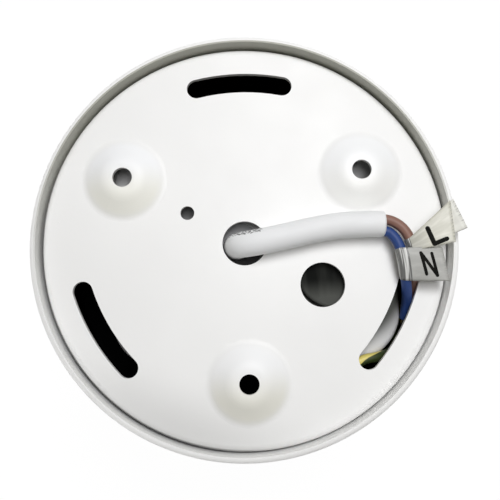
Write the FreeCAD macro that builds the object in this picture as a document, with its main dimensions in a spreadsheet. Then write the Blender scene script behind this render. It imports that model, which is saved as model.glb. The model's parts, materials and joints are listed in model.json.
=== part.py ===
import FreeCAD, Part
import math
import os

import Sketcher

# Ceiling spotlight: a painted tube on a pressed mounting plate, with its driver behind the plate and a
# lamp head on a gimbal ring at the mouth. Z points up to the ceiling, and Z 0 is the plane that the rear
# edge and the tops of the plate's domes lie in. All sizes are in millimetres.

SIZES = {
    # Tube with its partition
    "housing_radius": 50, "housing_wall": 1.5, "housing_length": 106, "rear_round": 1.2,
    "partition_depth": 36, "partition_thickness": 2.5, "lead_bore_radius": 6,
    "post_radius": 4, "post_height": 3, "post_reach": 25,
    "earth_post_edge": 5.5, "earth_post_y": 5.5, "earth_post_height": 2,
    # Mounting plate
    "plate_drop": 2.8, "plate_gap": 0.45, "plate_thickness": 1.2, "plate_skirt": 10, "plate_round": 1.6,
    "dome_radius": 10.2, "dome_crown_radius": 2.9, "dome_brow": 5.7, "dome_foot": 2.75, "dome_edge": 5.35,
    "screw_hole_radius": 2.3,
    "centre_hole_radius": 5.25, "entry_hole_radius": 5.25, "entry_hole_reach": 20.8,
    "earth_hole_radius": 1.65,
    "slot_edge": 8.75, "slot_width": 4.68, "slot_chord": 20.8,
    "stud_radius": 2, "stud_length": 7, "stud_x": 15, "stud_edge": 11.05,
    # Set screws that hold the tube to the plate, and the bezel to the tube
    "side_screw_radius": 2, "side_screw_length": 5, "side_screw_depth": 8,
    "bezel_screw_radius": 1.5, "bezel_screw_length": 4, "bezel_screw_rise": 5.7,
    "set_screw_recess": 0.2, "set_screw_socket_depth": 1.8, "set_screw_socket_width": 1.5,
    # Driver
    "driver_length": 70, "driver_width": 56, "driver_corner": 12, "driver_x": 2.2, "driver_y": 0.8,
    "driver_top_depth": 8, "driver_lid_height": 4, "driver_wall": 1.8, "driver_lid_round": 1.6,
    "bulge_x": 21.9, "bulge_y": 5.9, "bulge_radius": 10.2, "bulge_height": 2.5, "bulge_round": 0.8,
    "inner_post_radius": 3.2, "inner_post_height": 6, "lid_post_x": 20, "lid_post_inset": 6.5,
    "board_margin": 10.5, "board_thickness": 1.6,
    "board_end_gap": 1.2, "transformer_x": 17, "transformer_length": 19, "transformer_width": 16,
    "transformer_gap": 4.4, "capacitor_radius": 5, "capacitor_gap": 3.3,
    "choke_x": 12, "choke_y": 10, "choke_radius": 4.2, "choke_gap": 5.8,
    "gland_x": 2.1, "gland_y": 0.5, "gland_radius": 5, "gland_flange_radius": 6.2, "gland_flange": 1.2,
    "gland_depth": 5.5, "gland_floor": 2,
    # Small machine screws
    "screw_radius": 1.5, "screw_head_radius": 2.8, "screw_head_height": 1.8, "screw_socket_width": 2.5,
    "screw_socket_depth": 1.1, "lid_screw_length": 9, "driver_screw_length": 12,
    "earth_screw_length": 4, "earth_head_radius": 3.5, "earth_head_height": 2.4,
    "nut_across_flats": 7, "nut_height": 3.2,
    # Ring terminals
    "terminal_radius": 4.2, "terminal_thickness": 0.8, "barrel_radius": 1.8, "barrel_length": 5,
    # Supply cable, cores and flags
    "cable_radius": 3.05, "core_radius": 1.2, "strand_radius": 0.8, "earth_wire_radius": 1.2,
    "flag_thickness": 0.4, "live_flag_root": 4.2, "live_flag_tip": 9.4, "live_flag_reach": 9.6,
    "neutral_flag_root": 7.8, "neutral_flag_tip": 8.2, "neutral_flag_reach": 7.6,
    # Partition grommet and lamp lead
    "grommet_flange_radius": 8.5, "grommet_flange": 1.5, "lead_radius": 1.8,
    # Bezel with its seal, spring washer and snap ring
    "bezel_thickness": 4, "bezel_round": 1.5, "bezel_mouth_rim": 8.5, "bezel_lip": 2.5,
    "bezel_seat_rim": 4.5, "bezel_spigot_length": 12, "spigot_gap": 0.3, "mouth_chamfer": 1,
    "seal_groove_depth": 1.3, "seal_groove_width": 1.6, "seal_groove_rise": 9.2, "seal_radius": 0.75,
    "snap_groove_depth": 1.1, "snap_groove_width": 1.2, "snap_groove_rise": 1.9,
    "snap_ring_width": 3.3, "snap_ring_thickness": 1, "snap_lug_radius": 1.75, "snap_lug_hole_radius": 0.8,
    "snap_lug_spread": 5.6, "snap_gap_half": 3.2, "washer_width": 2.2, "washer_thickness": 1,
    # Swivel ring
    "swivel_gap": 0.5, "swivel_wall": 2.6, "swivel_flange": 2, "swivel_rim_gap": 0.3,
    "swivel_wall_height": 8.8, "lug_half_width": 6, "lug_thickness": 3.6, "pivot_rise": 9,
    "pivot_bore_radius": 2.15, "pivot_washer_radius": 4, "pivot_washer_thickness": 0.7,
    "pivot_thread_radius": 1.6, "pivot_thread_length": 5, "pivot_head_radius": 3.2, "pivot_head_height": 2.4,
    # Lamp head
    "head_mouth_gap": 3.4, "head_front": 9, "head_rear": 14, "head_wall": 6.1, "head_flat_depth": 0.5,
    "head_front_wall": 3.5, "head_neck_step": 4.1,
    "head_shelf_width": 5, "head_shelf_rise": 10,
    "front_ring_width": 3.5, "front_ring_thickness": 1.7, "front_ring_chamfer": 0.8,
    "glass_thickness": 3, "gasket_thickness": 0.8, "gasket_width": 2.2,
    "reflector_rim": 1, "reflector_wall": 1, "reflector_lip": 1.4, "reflector_neck_radius": 8.5,
    "reflector_waist_radius": 13, "reflector_gap": 0.2,
    "holder_radius": 19.4, "holder_gap": 0.4, "holder_cover": 2.5, "holder_bore_radius": 8,
    "holder_screw_reach": 16.3,
    "holder_screw_length": 6,
    "board_half_width": 9.5, "led_board_thickness": 1.5, "emitter_radius": 6.5, "emitter_height": 0.5,
    "pad_thickness": 0.5, "pocket_gap": 0.2,
    # Heat sink
    "sink_base": 4, "sink_core_radius": 9, "sink_fin_edge": 4, "sink_fin_height": 14,
    "sink_fin_thickness": 1.4, "sink_fin_slope": 4, "sink_bore_radius": 2.3, "sink_screw_edge": 3.4,
    "sink_screw_length": 9, "sink_gland_radius": 4.5, "sink_gland_height": 2,
    # Clearances
    "slide_gap": 0.1, "screw_gap": 0.1, "turn_gap": 0.05, "overrun": 5,
}

ENTRY_HOLE_ANGLE = -30
EARTH_HOLE_ANGLE = 150
EARTH_HOLE_SHARE = 0.5953
SINK_FINS = 24

doc = FreeCAD.newDocument("ceiling_spotlight")
sheet = doc.addObject("Spreadsheet::Sheet", "Sizes")
for row, (name, value) in enumerate(SIZES.items(), start=1):
    sheet.set(f"A{row}", name)
    sheet.set(f"B{row}", str(value))
    sheet.setAlias(f"B{row}", name)
doc.recompute()


class Size:
    """A length with its value and the expression that binds it to the sheet."""

    def __init__(self, value, text):
        self.value = float(value)
        self.text = text

    @staticmethod
    def of(other):
        return other if isinstance(other, Size) else Size(other, repr(other))

    def __add__(self, other):
        other = Size.of(other)
        return Size(self.value + other.value, f"({self.text} + {other.text})")

    def __sub__(self, other):
        other = Size.of(other)
        return Size(self.value - other.value, f"({self.text} - {other.text})")

    def __mul__(self, other):
        other = Size.of(other)
        return Size(self.value * other.value, f"({self.text} * {other.text})")

    def __truediv__(self, other):
        other = Size.of(other)
        return Size(self.value / other.value, f"({self.text} / {other.text})")

    def __neg__(self):
        return Size(-self.value, f"(0 - {self.text})")

    def __radd__(self, other):
        return Size.of(other) + self

    def __rsub__(self, other):
        return Size.of(other) - self

    def __rmul__(self, other):
        return Size.of(other) * self

    def root(self):
        return Size(math.sqrt(self.value), f"sqrt({self.text})")


class SheetSizes:
    """Every alias of the sheet as a bound length."""

    def __getattr__(self, name):
        return Size(sheet.get(name), f"Sizes.{name}")


s = SheetSizes()
PIECES = []
LEFT, RIGHT = "left", "right"


def leg(long_side, other_side):
    """The remaining side of a right triangle."""
    return (long_side * long_side - other_side * other_side).root()


def plain(length):
    """The number in a bound length or a plain zero."""
    return length.value if isinstance(length, Size) else float(length)


def arc_between(start, end, centre, turn):
    """The circular edge from start to end about centre, turning left or right."""
    first = math.atan2(start[1] - centre[1], start[0] - centre[0])
    last = math.atan2(end[1] - centre[1], end[0] - centre[0])
    if turn == RIGHT:
        first, last = last, first
    if last <= first:
        last += math.tau
    circle = Part.Circle(FreeCAD.Vector(*centre, 0), FreeCAD.Vector(0, 0, 1), math.dist(start, centre))
    return Part.ArcOfCircle(circle, first, last)


class Drawing:
    """A sketch whose corners, arc centres and circles are all pinned to expressions."""

    def __init__(self, body, role, name, shift):
        plane = next(item for item in body.Origin.OriginFeatures if item.Role == role)
        self.sketch = body.newObject("Sketcher::SketchObject", name)
        self.sketch.AttachmentSupport = (plane, [""])
        self.sketch.MapMode = "FlatFace"
        for axis, length in zip("xyz", shift):
            if isinstance(length, Size):
                self.sketch.setExpression(f"AttachmentOffset.Base.{axis}", length.text)

    def bind(self, kind, item, point, length):
        index = self.sketch.addConstraint(Sketcher.Constraint(kind, -1, 1, item, point, length.value))
        self.sketch.setExpression(f"Constraints[{index}]", length.text)

    def pin(self, item, point, x, y):
        """Hold a point at x, y. A plain zero puts it on the axis."""
        for length, kind, axis in ((x, "DistanceX", -2), (y, "DistanceY", -1)):
            if isinstance(length, Size):
                self.bind(kind, item, point, length)
            else:
                self.sketch.addConstraint(Sketcher.Constraint("PointOnObject", item, point, axis))

    def outline(self, corners):
        """A closed outline. A corner is x, y, with a centre and a turn where an arc leads to it."""
        spots = [(plain(corner[0]), plain(corner[1])) for corner in corners]
        ends = []
        for index, corner in enumerate(corners):
            start, end = spots[index - 1], spots[index]
            if len(corner) == 2:
                line = Part.LineSegment(FreeCAD.Vector(*start, 0), FreeCAD.Vector(*end, 0))
                item = self.sketch.addGeometry(line, False)
                ends.append((item, 1, 2))
                continue
            centre = (plain(corner[2][0]), plain(corner[2][1]))
            item = self.sketch.addGeometry(arc_between(start, end, centre, corner[3]), False)
            ends.append((item, 1, 2) if corner[3] == LEFT else (item, 2, 1))
        for index, corner in enumerate(corners):
            item, _, last = ends[index]
            following, first, _ = ends[(index + 1) % len(corners)]
            self.sketch.addConstraint(Sketcher.Constraint("Coincident", item, last, following, first))
            self.pin(item, last, corner[0], corner[1])
        for index, corner in enumerate(corners):
            if len(corner) == 4:
                self.pin_centre(ends[index][0], spots[index - 1], spots[index], corner[2])

    def pin_centre(self, item, start, end, centre):
        """With both ends held, one coordinate of an arc's centre is still free: the one across its chord."""
        across_x = abs(end[1] - start[1]) >= abs(end[0] - start[0])
        length = centre[0] if across_x else centre[1]
        if isinstance(length, Size):
            self.bind("DistanceX" if across_x else "DistanceY", item, 3, length)
        else:
            self.sketch.addConstraint(Sketcher.Constraint("PointOnObject", item, 3, -2 if across_x else -1))

    def circle(self, x, y, radius):
        middle = FreeCAD.Vector(plain(x), plain(y), 0)
        item = self.sketch.addGeometry(Part.Circle(middle, FreeCAD.Vector(0, 0, 1), radius.value), False)
        self.pin(item, 3, x, y)
        index = self.sketch.addConstraint(Sketcher.Constraint("Radius", item, radius.value))
        self.sketch.setExpression(f"Constraints[{index}]", radius.text)


class Piece:
    """One sub-part: a body built from bound sketches, pads, pockets, turned features and patterns."""

    def __init__(self, label):
        self.body = doc.addObject("PartDesign::Body", label)
        self.label = label
        self.steps = 0
        PIECES.append(self.body)

    def name(self, word):
        self.steps += 1
        return f"{self.label}_{word}_{self.steps}"

    def draw(self, role, shift, outlines, circles):
        drawing = Drawing(self.body, role, self.name("sketch"), shift)
        for corners in outlines:
            drawing.outline(corners)
        for circle in circles:
            drawing.circle(*circle)
        return drawing.sketch

    def turn(self, *outlines, shift=(0, 0, 0), axis="V_Axis", role="XZ_Plane", cut=False):
        """Revolve outlines about one of the sketch's own axes."""
        sketch = self.draw(role, shift, outlines, ())
        kind = "Groove" if cut else "Revolution"
        feature = self.body.newObject(f"PartDesign::{kind}", self.name(kind.lower()))
        feature.Profile = (sketch, [""])
        feature.ReferenceAxis = (sketch, [axis])
        feature.Angle = 360
        return feature

    def pad(self, length, *outlines, circles=(), role="XY_Plane", shift=(0, 0, 0), cut=False, back=False):
        """Push outlines and circles along the sketch's normal, or against it with back."""
        sketch = self.draw(role, shift, outlines, circles)
        kind = "Pocket" if cut else "Pad"
        feature = self.body.newObject(f"PartDesign::{kind}", self.name(kind.lower()))
        feature.Profile = (sketch, [""])
        feature.setExpression("Length", length.text)
        feature.Reversed = (not back) if cut else back
        return feature

    def repeat(self, features, count, role="Z_Axis"):
        """Copies of the features round an axis of the body."""
        axis = next(item for item in self.body.Origin.OriginFeatures if item.Role == role)
        pattern = self.body.newObject("PartDesign::PolarPattern", self.name("pattern"))
        pattern.Originals = features
        pattern.Axis = (axis, [""])
        pattern.Angle = 360
        pattern.Occurrences = count
        self.body.Tip = pattern
        return pattern

    def round_edges(self, radius, chosen):
        """Round the tip's edges that the test chooses."""
        doc.recompute()
        base = self.body.Tip
        names = [f"Edge{index}" for index, edge in enumerate(base.Shape.Edges, start=1) if chosen(edge)]
        fillet = self.body.newObject("PartDesign::Fillet", self.name("fillet"))
        fillet.Base = (base, names)
        fillet.setExpression("Radius", radius.text)
        return fillet


def solid(label, shape):
    """A sub-part whose shape is made directly from sizes read from the sheet."""
    feature = doc.addObject("Part::Feature", label)
    feature.Shape = shape
    PIECES.append(feature)
    return feature


def box_outline(x, y, half_x, half_y):
    left, right, near, far = x - half_x, x + half_x, y - half_y, y + half_y
    return [(left, near), (right, near), (right, far), (left, far)]


def rounded_outline(x, y, half_x, half_y, radius):
    """A rectangle with round corners."""
    left, right, low, high = x - half_x, x + half_x, y - half_y, y + half_y
    return [
        (right - radius, low),
        (right, low + radius, (right - radius, low + radius), LEFT),
        (right, high - radius), (right - radius, high, (right - radius, high - radius), LEFT),
        (left + radius, high), (left, high - radius, (left + radius, high - radius), LEFT),
        (left, low + radius), (left + radius, low, (left + radius, low + radius), LEFT),
    ]


def hexagon(x, y, across_flats):
    """A hexagon with two flats facing along the second axis."""
    half = across_flats / 2
    corner = across_flats / math.sqrt(3)
    return [
        (x + corner, y), (x + corner / 2, y + half), (x - corner / 2, y + half),
        (x - corner, y), (x - corner / 2, y - half), (x + corner / 2, y - half),
    ]


def band(inner, outer, low, high):
    """The section of a plain ring."""
    return [(inner, low), (outer, low), (outer, high), (inner, high)]


# Places that several sub-parts share
inner_radius = s.housing_radius - s.housing_wall
plate_radius = inner_radius - s.plate_gap
plate_top = -s.plate_drop
plate_under = plate_top - s.plate_thickness
screw_circle = plate_radius - s.dome_edge - s.dome_radius
earth_hole_reach = s.centre_hole_radius + (
    screw_circle - s.dome_radius - s.centre_hole_radius
) * EARTH_HOLE_SHARE
stud_y = s.stud_edge - plate_radius
side_screw_level = -s.side_screw_depth
partition_top = -s.partition_depth
partition_under = partition_top - s.partition_thickness
earth_post_x = inner_radius - s.earth_post_edge
case_under = partition_top + s.post_height
lid_top = -s.driver_top_depth
lid_under = lid_top - s.driver_lid_height
driver_x, driver_y = s.driver_x, -s.driver_y
driver_half_x, driver_half_y = s.driver_length / 2, s.driver_width / 2
board_under = case_under + s.driver_wall + s.inner_post_height
board_top = board_under + s.board_thickness
bezel_top = -s.housing_length
bezel_front = bezel_top - s.bezel_thickness
bezel_seat = bezel_front + s.bezel_lip
bezel_screw_level = bezel_top + s.bezel_screw_rise
bezel_mouth_radius = s.housing_radius - s.bezel_mouth_rim
bezel_seat_radius = s.housing_radius - s.bezel_seat_rim
spigot_radius = inner_radius - s.spigot_gap
head_radius = bezel_mouth_radius - s.head_mouth_gap
head_flat = head_radius - s.head_flat_depth
head_bore_radius = head_radius - s.head_wall
head_front_bore_radius = head_radius - s.head_front_wall
head_neck_radius = head_radius - s.head_neck_step
ring_low = bezel_seat + s.slide_gap
ring_flange_top = ring_low + s.swivel_flange
ring_bore = head_radius + s.swivel_gap
ring_rim = bezel_seat_radius - s.swivel_rim_gap
lug_inner = ring_bore + s.slide_gap
lug_outer = lug_inner + s.lug_thickness
pivot = bezel_top + s.pivot_rise
head_front = pivot - s.head_front
glass_front = head_front + s.front_ring_thickness
glass_back = glass_front + s.glass_thickness
head_seat = glass_back + s.gasket_thickness
reflector_mouth_radius = head_bore_radius - s.reflector_gap - s.reflector_lip
reflector_bend = reflector_mouth_radius - s.reflector_waist_radius
holder_front = glass_back + reflector_bend + s.reflector_wall + s.holder_gap
board_front = holder_front + s.holder_cover
board_back = board_front + s.led_board_thickness
sink_front = board_back + s.pad_thickness
sink_top = sink_front + s.sink_base
fin_top = sink_top + s.sink_fin_height
LID_SCREW_PLACES = [
    (driver_x + side * s.lid_post_x, driver_y + end * (driver_half_y - s.lid_post_inset))
    for side in (-1, 1) for end in (-1, 1)
]
POST_PLACES = [(driver_x - s.post_reach, driver_y), (driver_x + s.post_reach, driver_y)]
BETWEEN_FINS = math.pi / SINK_FINS
sink_screw_reach = head_neck_radius - s.sink_screw_edge
SINK_SCREW = (sink_screw_reach * math.cos(BETWEEN_FINS), sink_screw_reach * math.sin(BETWEEN_FINS))


def polar(reach, degrees):
    """A place given by its distance from the centre and its angle."""
    return reach * math.cos(math.radians(degrees)), reach * math.sin(math.radians(degrees))


def rings(places, radius):
    return [(x, y, radius) for x, y in places]


def housing_shell():
    """Tube with a rounded rear edge and the partition that carries the driver."""
    piece = Piece("housing_shell")
    outer, edge = s.housing_radius, s.rear_round
    piece.turn([
        (inner_radius, bezel_top), (outer, bezel_top), (outer, -edge),
        (outer - edge, 0, (outer - edge, -edge), LEFT), (inner_radius, 0),
        (inner_radius, partition_top), (s.lead_bore_radius, partition_top),
        (s.lead_bore_radius, partition_under), (inner_radius, partition_under),
    ])
    piece.pad(s.post_height, circles=rings(POST_PLACES, s.post_radius), shift=(0, 0, partition_top))
    earth_post = (earth_post_x, s.earth_post_y)
    piece.pad(s.earth_post_height, circles=rings([earth_post], s.post_radius), shift=(0, 0, partition_top))
    piece.pad(
        s.partition_thickness + s.post_height, circles=rings(POST_PLACES, s.screw_radius + s.screw_gap),
        shift=(0, 0, partition_under), cut=True,
    )
    piece.pad(
        s.earth_screw_length, circles=rings([earth_post], s.stud_radius + s.turn_gap),
        shift=(0, 0, partition_top + s.earth_post_height), cut=True, back=True,
    )
    holes = piece.pad(
        s.housing_radius + s.overrun, role="YZ_Plane", cut=True, back=True,
        circles=[
            (0, side_screw_level, s.side_screw_radius + s.screw_gap),
            (0, bezel_screw_level, s.bezel_screw_radius + s.screw_gap),
        ],
    )
    piece.repeat([holes], 3)


def dome_section():
    """Section of a pressed dome's wall: a bend, a straight flank and a bend up to the crown."""
    wall, brow, foot = s.plate_thickness, s.dome_brow, s.dome_foot
    brow_centre = (s.dome_crown_radius, -brow)
    foot_centre = (s.dome_radius, plate_top + foot)
    across, up = foot_centre[0] - brow_centre[0], foot_centre[1] - brow_centre[1]
    square = across * across + up * up
    bends = brow + foot
    flank = (square - bends * bends).root()
    lean = ((bends * across - flank * up) / square, (bends * up + flank * across) / square)
    brow_end = (brow_centre[0] + lean[0] * brow, brow_centre[1] + lean[1] * brow)
    foot_end = (foot_centre[0] - lean[0] * foot, foot_centre[1] - lean[1] * foot)
    brow_under = (brow_end[0] - lean[0] * wall, brow_end[1] - lean[1] * wall)
    foot_under = (foot_end[0] - lean[0] * wall, foot_end[1] - lean[1] * wall)
    return [
        (0, -wall), (brow_centre[0], -wall), (*brow_under, brow_centre, RIGHT), foot_under,
        (foot_centre[0], plate_under, foot_centre, LEFT), (foot_centre[0], plate_top),
        (*foot_end, foot_centre, RIGHT), brow_end, (brow_centre[0], 0, brow_centre, LEFT), (0, 0),
    ]


def slot_outline():
    """A curved slot above the centre, with round ends."""
    arc_radius = plate_radius
    middle = (0, -s.slot_edge)
    half = s.slot_chord / 2
    rise = leg(arc_radius, half)
    wide = (arc_radius + s.slot_width / 2) / arc_radius
    narrow = (arc_radius - s.slot_width / 2) / arc_radius
    right_end = (half, middle[1] + rise)
    left_end = (-half, middle[1] + rise)
    return [
        (half * wide, middle[1] + rise * wide, right_end, LEFT),
        (-half * wide, middle[1] + rise * wide, middle, LEFT),
        (-half * narrow, middle[1] + rise * narrow, left_end, LEFT),
        (half * narrow, middle[1] + rise * narrow, middle, RIGHT),
    ]


def mounting_plate():
    """Pressed plate with a turned-down skirt, three domes flush with the tube's edge, holes and slots."""
    piece = Piece("mounting_plate")
    wall, edge = s.plate_thickness, s.plate_round
    inner = plate_radius - wall
    skirt_end = plate_top - s.plate_skirt
    corner = (plate_radius - edge, plate_top - edge)
    piece.turn([
        (0, plate_under), (corner[0], plate_under), (inner, corner[1], corner, RIGHT), (inner, skirt_end),
        (plate_radius, skirt_end), (plate_radius, corner[1]), (corner[0], plate_top, corner, LEFT),
        (0, plate_top),
    ])
    dome_place = [(0, -screw_circle)]
    opening = piece.pad(
        wall + s.overrun, circles=rings(dome_place, s.dome_radius), shift=(0, 0, plate_under), cut=True
    )
    dome = piece.turn(dome_section(), shift=(0, 0, screw_circle))
    hole = piece.pad(
        wall + s.plate_drop + s.overrun, circles=rings(dome_place, s.screw_hole_radius),
        shift=(0, 0, plate_under), cut=True,
    )
    piece.repeat([opening, dome, hole], 3)
    piece.pad(
        wall + s.overrun, shift=(0, 0, plate_under), cut=True,
        circles=[
            (0, 0, s.centre_hole_radius),
            (*polar(s.entry_hole_reach, ENTRY_HOLE_ANGLE), s.entry_hole_radius),
            (*polar(earth_hole_reach, EARTH_HOLE_ANGLE), s.earth_hole_radius),
        ],
    )
    slot = piece.pad(wall + s.overrun, slot_outline(), shift=(0, 0, plate_under), cut=True)
    piece.repeat([slot], 3)
    side = piece.pad(
        s.housing_radius, circles=[(0, side_screw_level, s.side_screw_radius + s.turn_gap)],
        role="YZ_Plane", cut=True, back=True,
    )
    piece.repeat([side], 3)
    piece.pad(
        s.stud_length, circles=[(s.stud_x, stud_y, s.stud_radius)], shift=(0, 0, plate_under), back=True
    )


def set_screws(label, radius, length, level):
    """Three hexagon-socket set screws just below the tube's surface."""
    piece = Piece(label)
    end = s.set_screw_recess - s.housing_radius
    shank = piece.turn(
        [(end, 0), (end + length, 0), (end + length, radius), (end, radius)],
        shift=(0, level, 0), axis="H_Axis",
    )
    socket = piece.pad(
        s.set_screw_socket_depth, hexagon(0, level, s.set_screw_socket_width), role="YZ_Plane",
        shift=(0, 0, end), cut=True,
    )
    piece.repeat([shank, socket], 3)


def machine_screws(label, places, seat, length, upward, head_radius, head_height, radius):
    """Screws with their heads' seats at one height. upward tells whether the heads point up."""
    piece = Piece(label)
    piece.pad(length, circles=rings(places, radius), shift=(0, 0, seat), back=upward)
    piece.pad(head_height, circles=rings(places, head_radius), shift=(0, 0, seat), back=not upward)
    face = seat + head_height if upward else seat - head_height
    piece.pad(
        s.screw_socket_depth, *(hexagon(x, y, s.screw_socket_width) for x, y in places),
        shift=(0, 0, face), cut=True, back=upward,
    )


def small_screws(label, places, seat, length, upward):
    machine_screws(
        label, places, seat, length, upward, s.screw_head_radius, s.screw_head_height, s.screw_radius
    )


def driver_case():
    """Open box with round corners, four tall posts for the lid and two low posts under the board."""
    piece = Piece("driver_case")
    wall, corner = s.driver_wall, s.driver_corner
    floor = case_under + wall
    inside = rounded_outline(driver_x, driver_y, driver_half_x - wall, driver_half_y - wall, corner - wall)
    piece.pad(
        lid_under - case_under, rounded_outline(driver_x, driver_y, driver_half_x, driver_half_y, corner),
        shift=(0, 0, case_under),
    )
    piece.pad(lid_under - floor, inside, shift=(0, 0, floor), cut=True)
    piece.pad(lid_under - floor, circles=rings(LID_SCREW_PLACES, s.inner_post_radius), shift=(0, 0, floor))
    piece.pad(s.inner_post_height, circles=rings(POST_PLACES, s.inner_post_radius), shift=(0, 0, floor))
    piece.pad(
        s.lid_screw_length, circles=rings(LID_SCREW_PLACES, s.screw_radius + s.turn_gap),
        shift=(0, 0, lid_under), cut=True, back=True,
    )
    piece.pad(
        s.driver_screw_length, circles=rings(POST_PLACES, s.screw_radius + s.turn_gap),
        shift=(0, 0, partition_under), cut=True,
    )


def driver_lid():
    """Lid with a rounded top edge, a round bulge over the tallest component and the cable's hole."""
    piece = Piece("driver_lid")
    wall, corner = s.driver_wall, s.driver_corner
    inside = rounded_outline(driver_x, driver_y, driver_half_x - wall, driver_half_y - wall, corner - wall)
    bulge = (s.bulge_x, -s.bulge_y)
    bulge_top = lid_top + s.bulge_height
    piece.pad(
        s.driver_lid_height, rounded_outline(driver_x, driver_y, driver_half_x, driver_half_y, corner),
        shift=(0, 0, lid_under),
    )
    piece.round_edges(s.driver_lid_round, lambda edge: edge.BoundBox.ZMin > lid_top.value - s.turn_gap.value)
    piece.pad(s.bulge_height, circles=rings([bulge], s.bulge_radius), shift=(0, 0, lid_top))
    piece.round_edges(s.bulge_round, lambda edge: edge.BoundBox.ZMin > bulge_top.value - s.turn_gap.value)
    piece.pad(s.driver_lid_height - wall, inside, shift=(0, 0, lid_under), cut=True)
    piece.pad(
        bulge_top - wall - lid_under, circles=rings([bulge], s.bulge_radius - wall),
        shift=(0, 0, lid_under), cut=True,
    )
    piece.pad(
        s.driver_lid_height, shift=(0, 0, lid_under), cut=True,
        circles=rings(LID_SCREW_PLACES, s.screw_radius + s.screw_gap)
        + [(-s.gland_x, -s.gland_y, s.gland_radius + s.turn_gap)],
    )


def driver_board():
    """Circuit board on the case's two middle posts."""
    piece = Piece("driver_board")
    half_x = driver_half_x - s.driver_wall - s.board_end_gap
    half_y = driver_half_y - s.board_margin
    piece.pad(s.board_thickness, box_outline(driver_x, driver_y, half_x, half_y), shift=(0, 0, board_under))


def driver_components():
    """Transformer, capacitor and choke on the board."""
    piece = Piece("driver_components")
    room = lid_top - s.driver_wall - board_top
    transformer = box_outline(-s.transformer_x, driver_y, s.transformer_length / 2, s.transformer_width / 2)
    capacitor = (s.bulge_x, -s.bulge_y, s.capacitor_radius)
    piece.pad(room - s.transformer_gap, transformer, shift=(0, 0, board_top))
    piece.pad(room + s.bulge_height - s.capacitor_gap, circles=[capacitor], shift=(0, 0, board_top))
    piece.pad(room - s.choke_gap, circles=[(s.choke_x, s.choke_y, s.choke_radius)], shift=(0, 0, board_top))


def cable_gland():
    """Rubber bush in the lid that the supply cable comes out of."""
    piece = Piece("cable_gland")
    place = [(-s.gland_x, -s.gland_y)]
    stem_low = lid_top - s.gland_depth
    piece.pad(s.gland_depth, circles=rings(place, s.gland_radius), shift=(0, 0, stem_low))
    piece.pad(s.gland_flange, circles=rings(place, s.gland_flange_radius), shift=(0, 0, lid_top))
    piece.pad(
        s.gland_depth + s.gland_flange, circles=rings(place, s.cable_radius + s.screw_gap),
        shift=(0, 0, stem_low + s.gland_floor), cut=True,
    )


def lead_grommet():
    """Spool-shaped grommet in the partition's bore."""
    piece = Piece("lead_grommet")
    bore, flange = s.lead_radius + s.turn_gap, s.grommet_flange_radius
    neck = s.lead_bore_radius - s.turn_gap
    low, high = partition_under - s.grommet_flange, partition_top + s.grommet_flange
    piece.turn([
        (bore, low), (flange, low), (flange, partition_under), (neck, partition_under), (neck, partition_top),
        (flange, partition_top), (flange, high), (bore, high),
    ])


def earth_nut():
    """Hexagon nut on the plate's earth stud."""
    piece = Piece("earth_nut")
    top = plate_under - s.terminal_thickness
    piece.pad(
        s.nut_height, hexagon(s.stud_x, stud_y, s.nut_across_flats),
        circles=[(s.stud_x, stud_y, s.stud_radius + s.turn_gap)], shift=(0, 0, top), back=True,
    )


def bezel():
    """Front ring with a rounded edge, a lip that the swivel ring rests on, and a spigot inside the tube."""
    piece = Piece("bezel")
    outer, edge, chamfer = s.housing_radius, s.bezel_round, s.mouth_chamfer
    spigot_top = bezel_top + s.bezel_spigot_length
    seal_low = bezel_top + s.seal_groove_rise
    seal_high = seal_low + s.seal_groove_width
    seal_floor = spigot_radius - s.seal_groove_depth
    snap_low = bezel_top + s.snap_groove_rise
    snap_high = snap_low + s.snap_groove_width
    snap_floor = bezel_seat_radius + s.snap_groove_depth
    piece.turn([
        (bezel_mouth_radius + chamfer, bezel_front), (outer - edge, bezel_front),
        (outer, bezel_front + edge, (outer - edge, bezel_front + edge), LEFT), (outer, bezel_top),
        (spigot_radius, bezel_top), (spigot_radius, seal_low), (seal_floor, seal_low),
        (seal_floor, seal_high),
        (spigot_radius, seal_high), (spigot_radius, spigot_top), (bezel_seat_radius, spigot_top),
        (bezel_seat_radius, snap_high), (snap_floor, snap_high), (snap_floor, snap_low),
        (bezel_seat_radius, snap_low), (bezel_seat_radius, bezel_seat),
        (bezel_mouth_radius, bezel_seat), (bezel_mouth_radius, bezel_front + chamfer),
    ])
    hole = piece.pad(
        s.housing_radius, circles=[(0, bezel_screw_level, s.bezel_screw_radius + s.turn_gap)],
        role="YZ_Plane", cut=True, back=True,
    )
    piece.repeat([hole], 3)


def bezel_seal():
    """Round seal in the spigot's groove."""
    piece = Piece("bezel_seal")
    reach = spigot_radius - s.seal_groove_depth + s.seal_radius
    height = bezel_top + s.seal_groove_rise + s.seal_groove_width / 2
    middle = (reach, height)
    piece.turn([(reach, height + s.seal_radius, middle, LEFT), (reach, height - s.seal_radius, middle, LEFT)])


def spring_washer():
    """Flat spring washer that presses the swivel ring down on the lip."""
    piece = Piece("spring_washer")
    low = ring_flange_top + s.turn_gap
    piece.turn(band(ring_rim - s.washer_width, ring_rim, low, low + s.washer_thickness))


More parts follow.
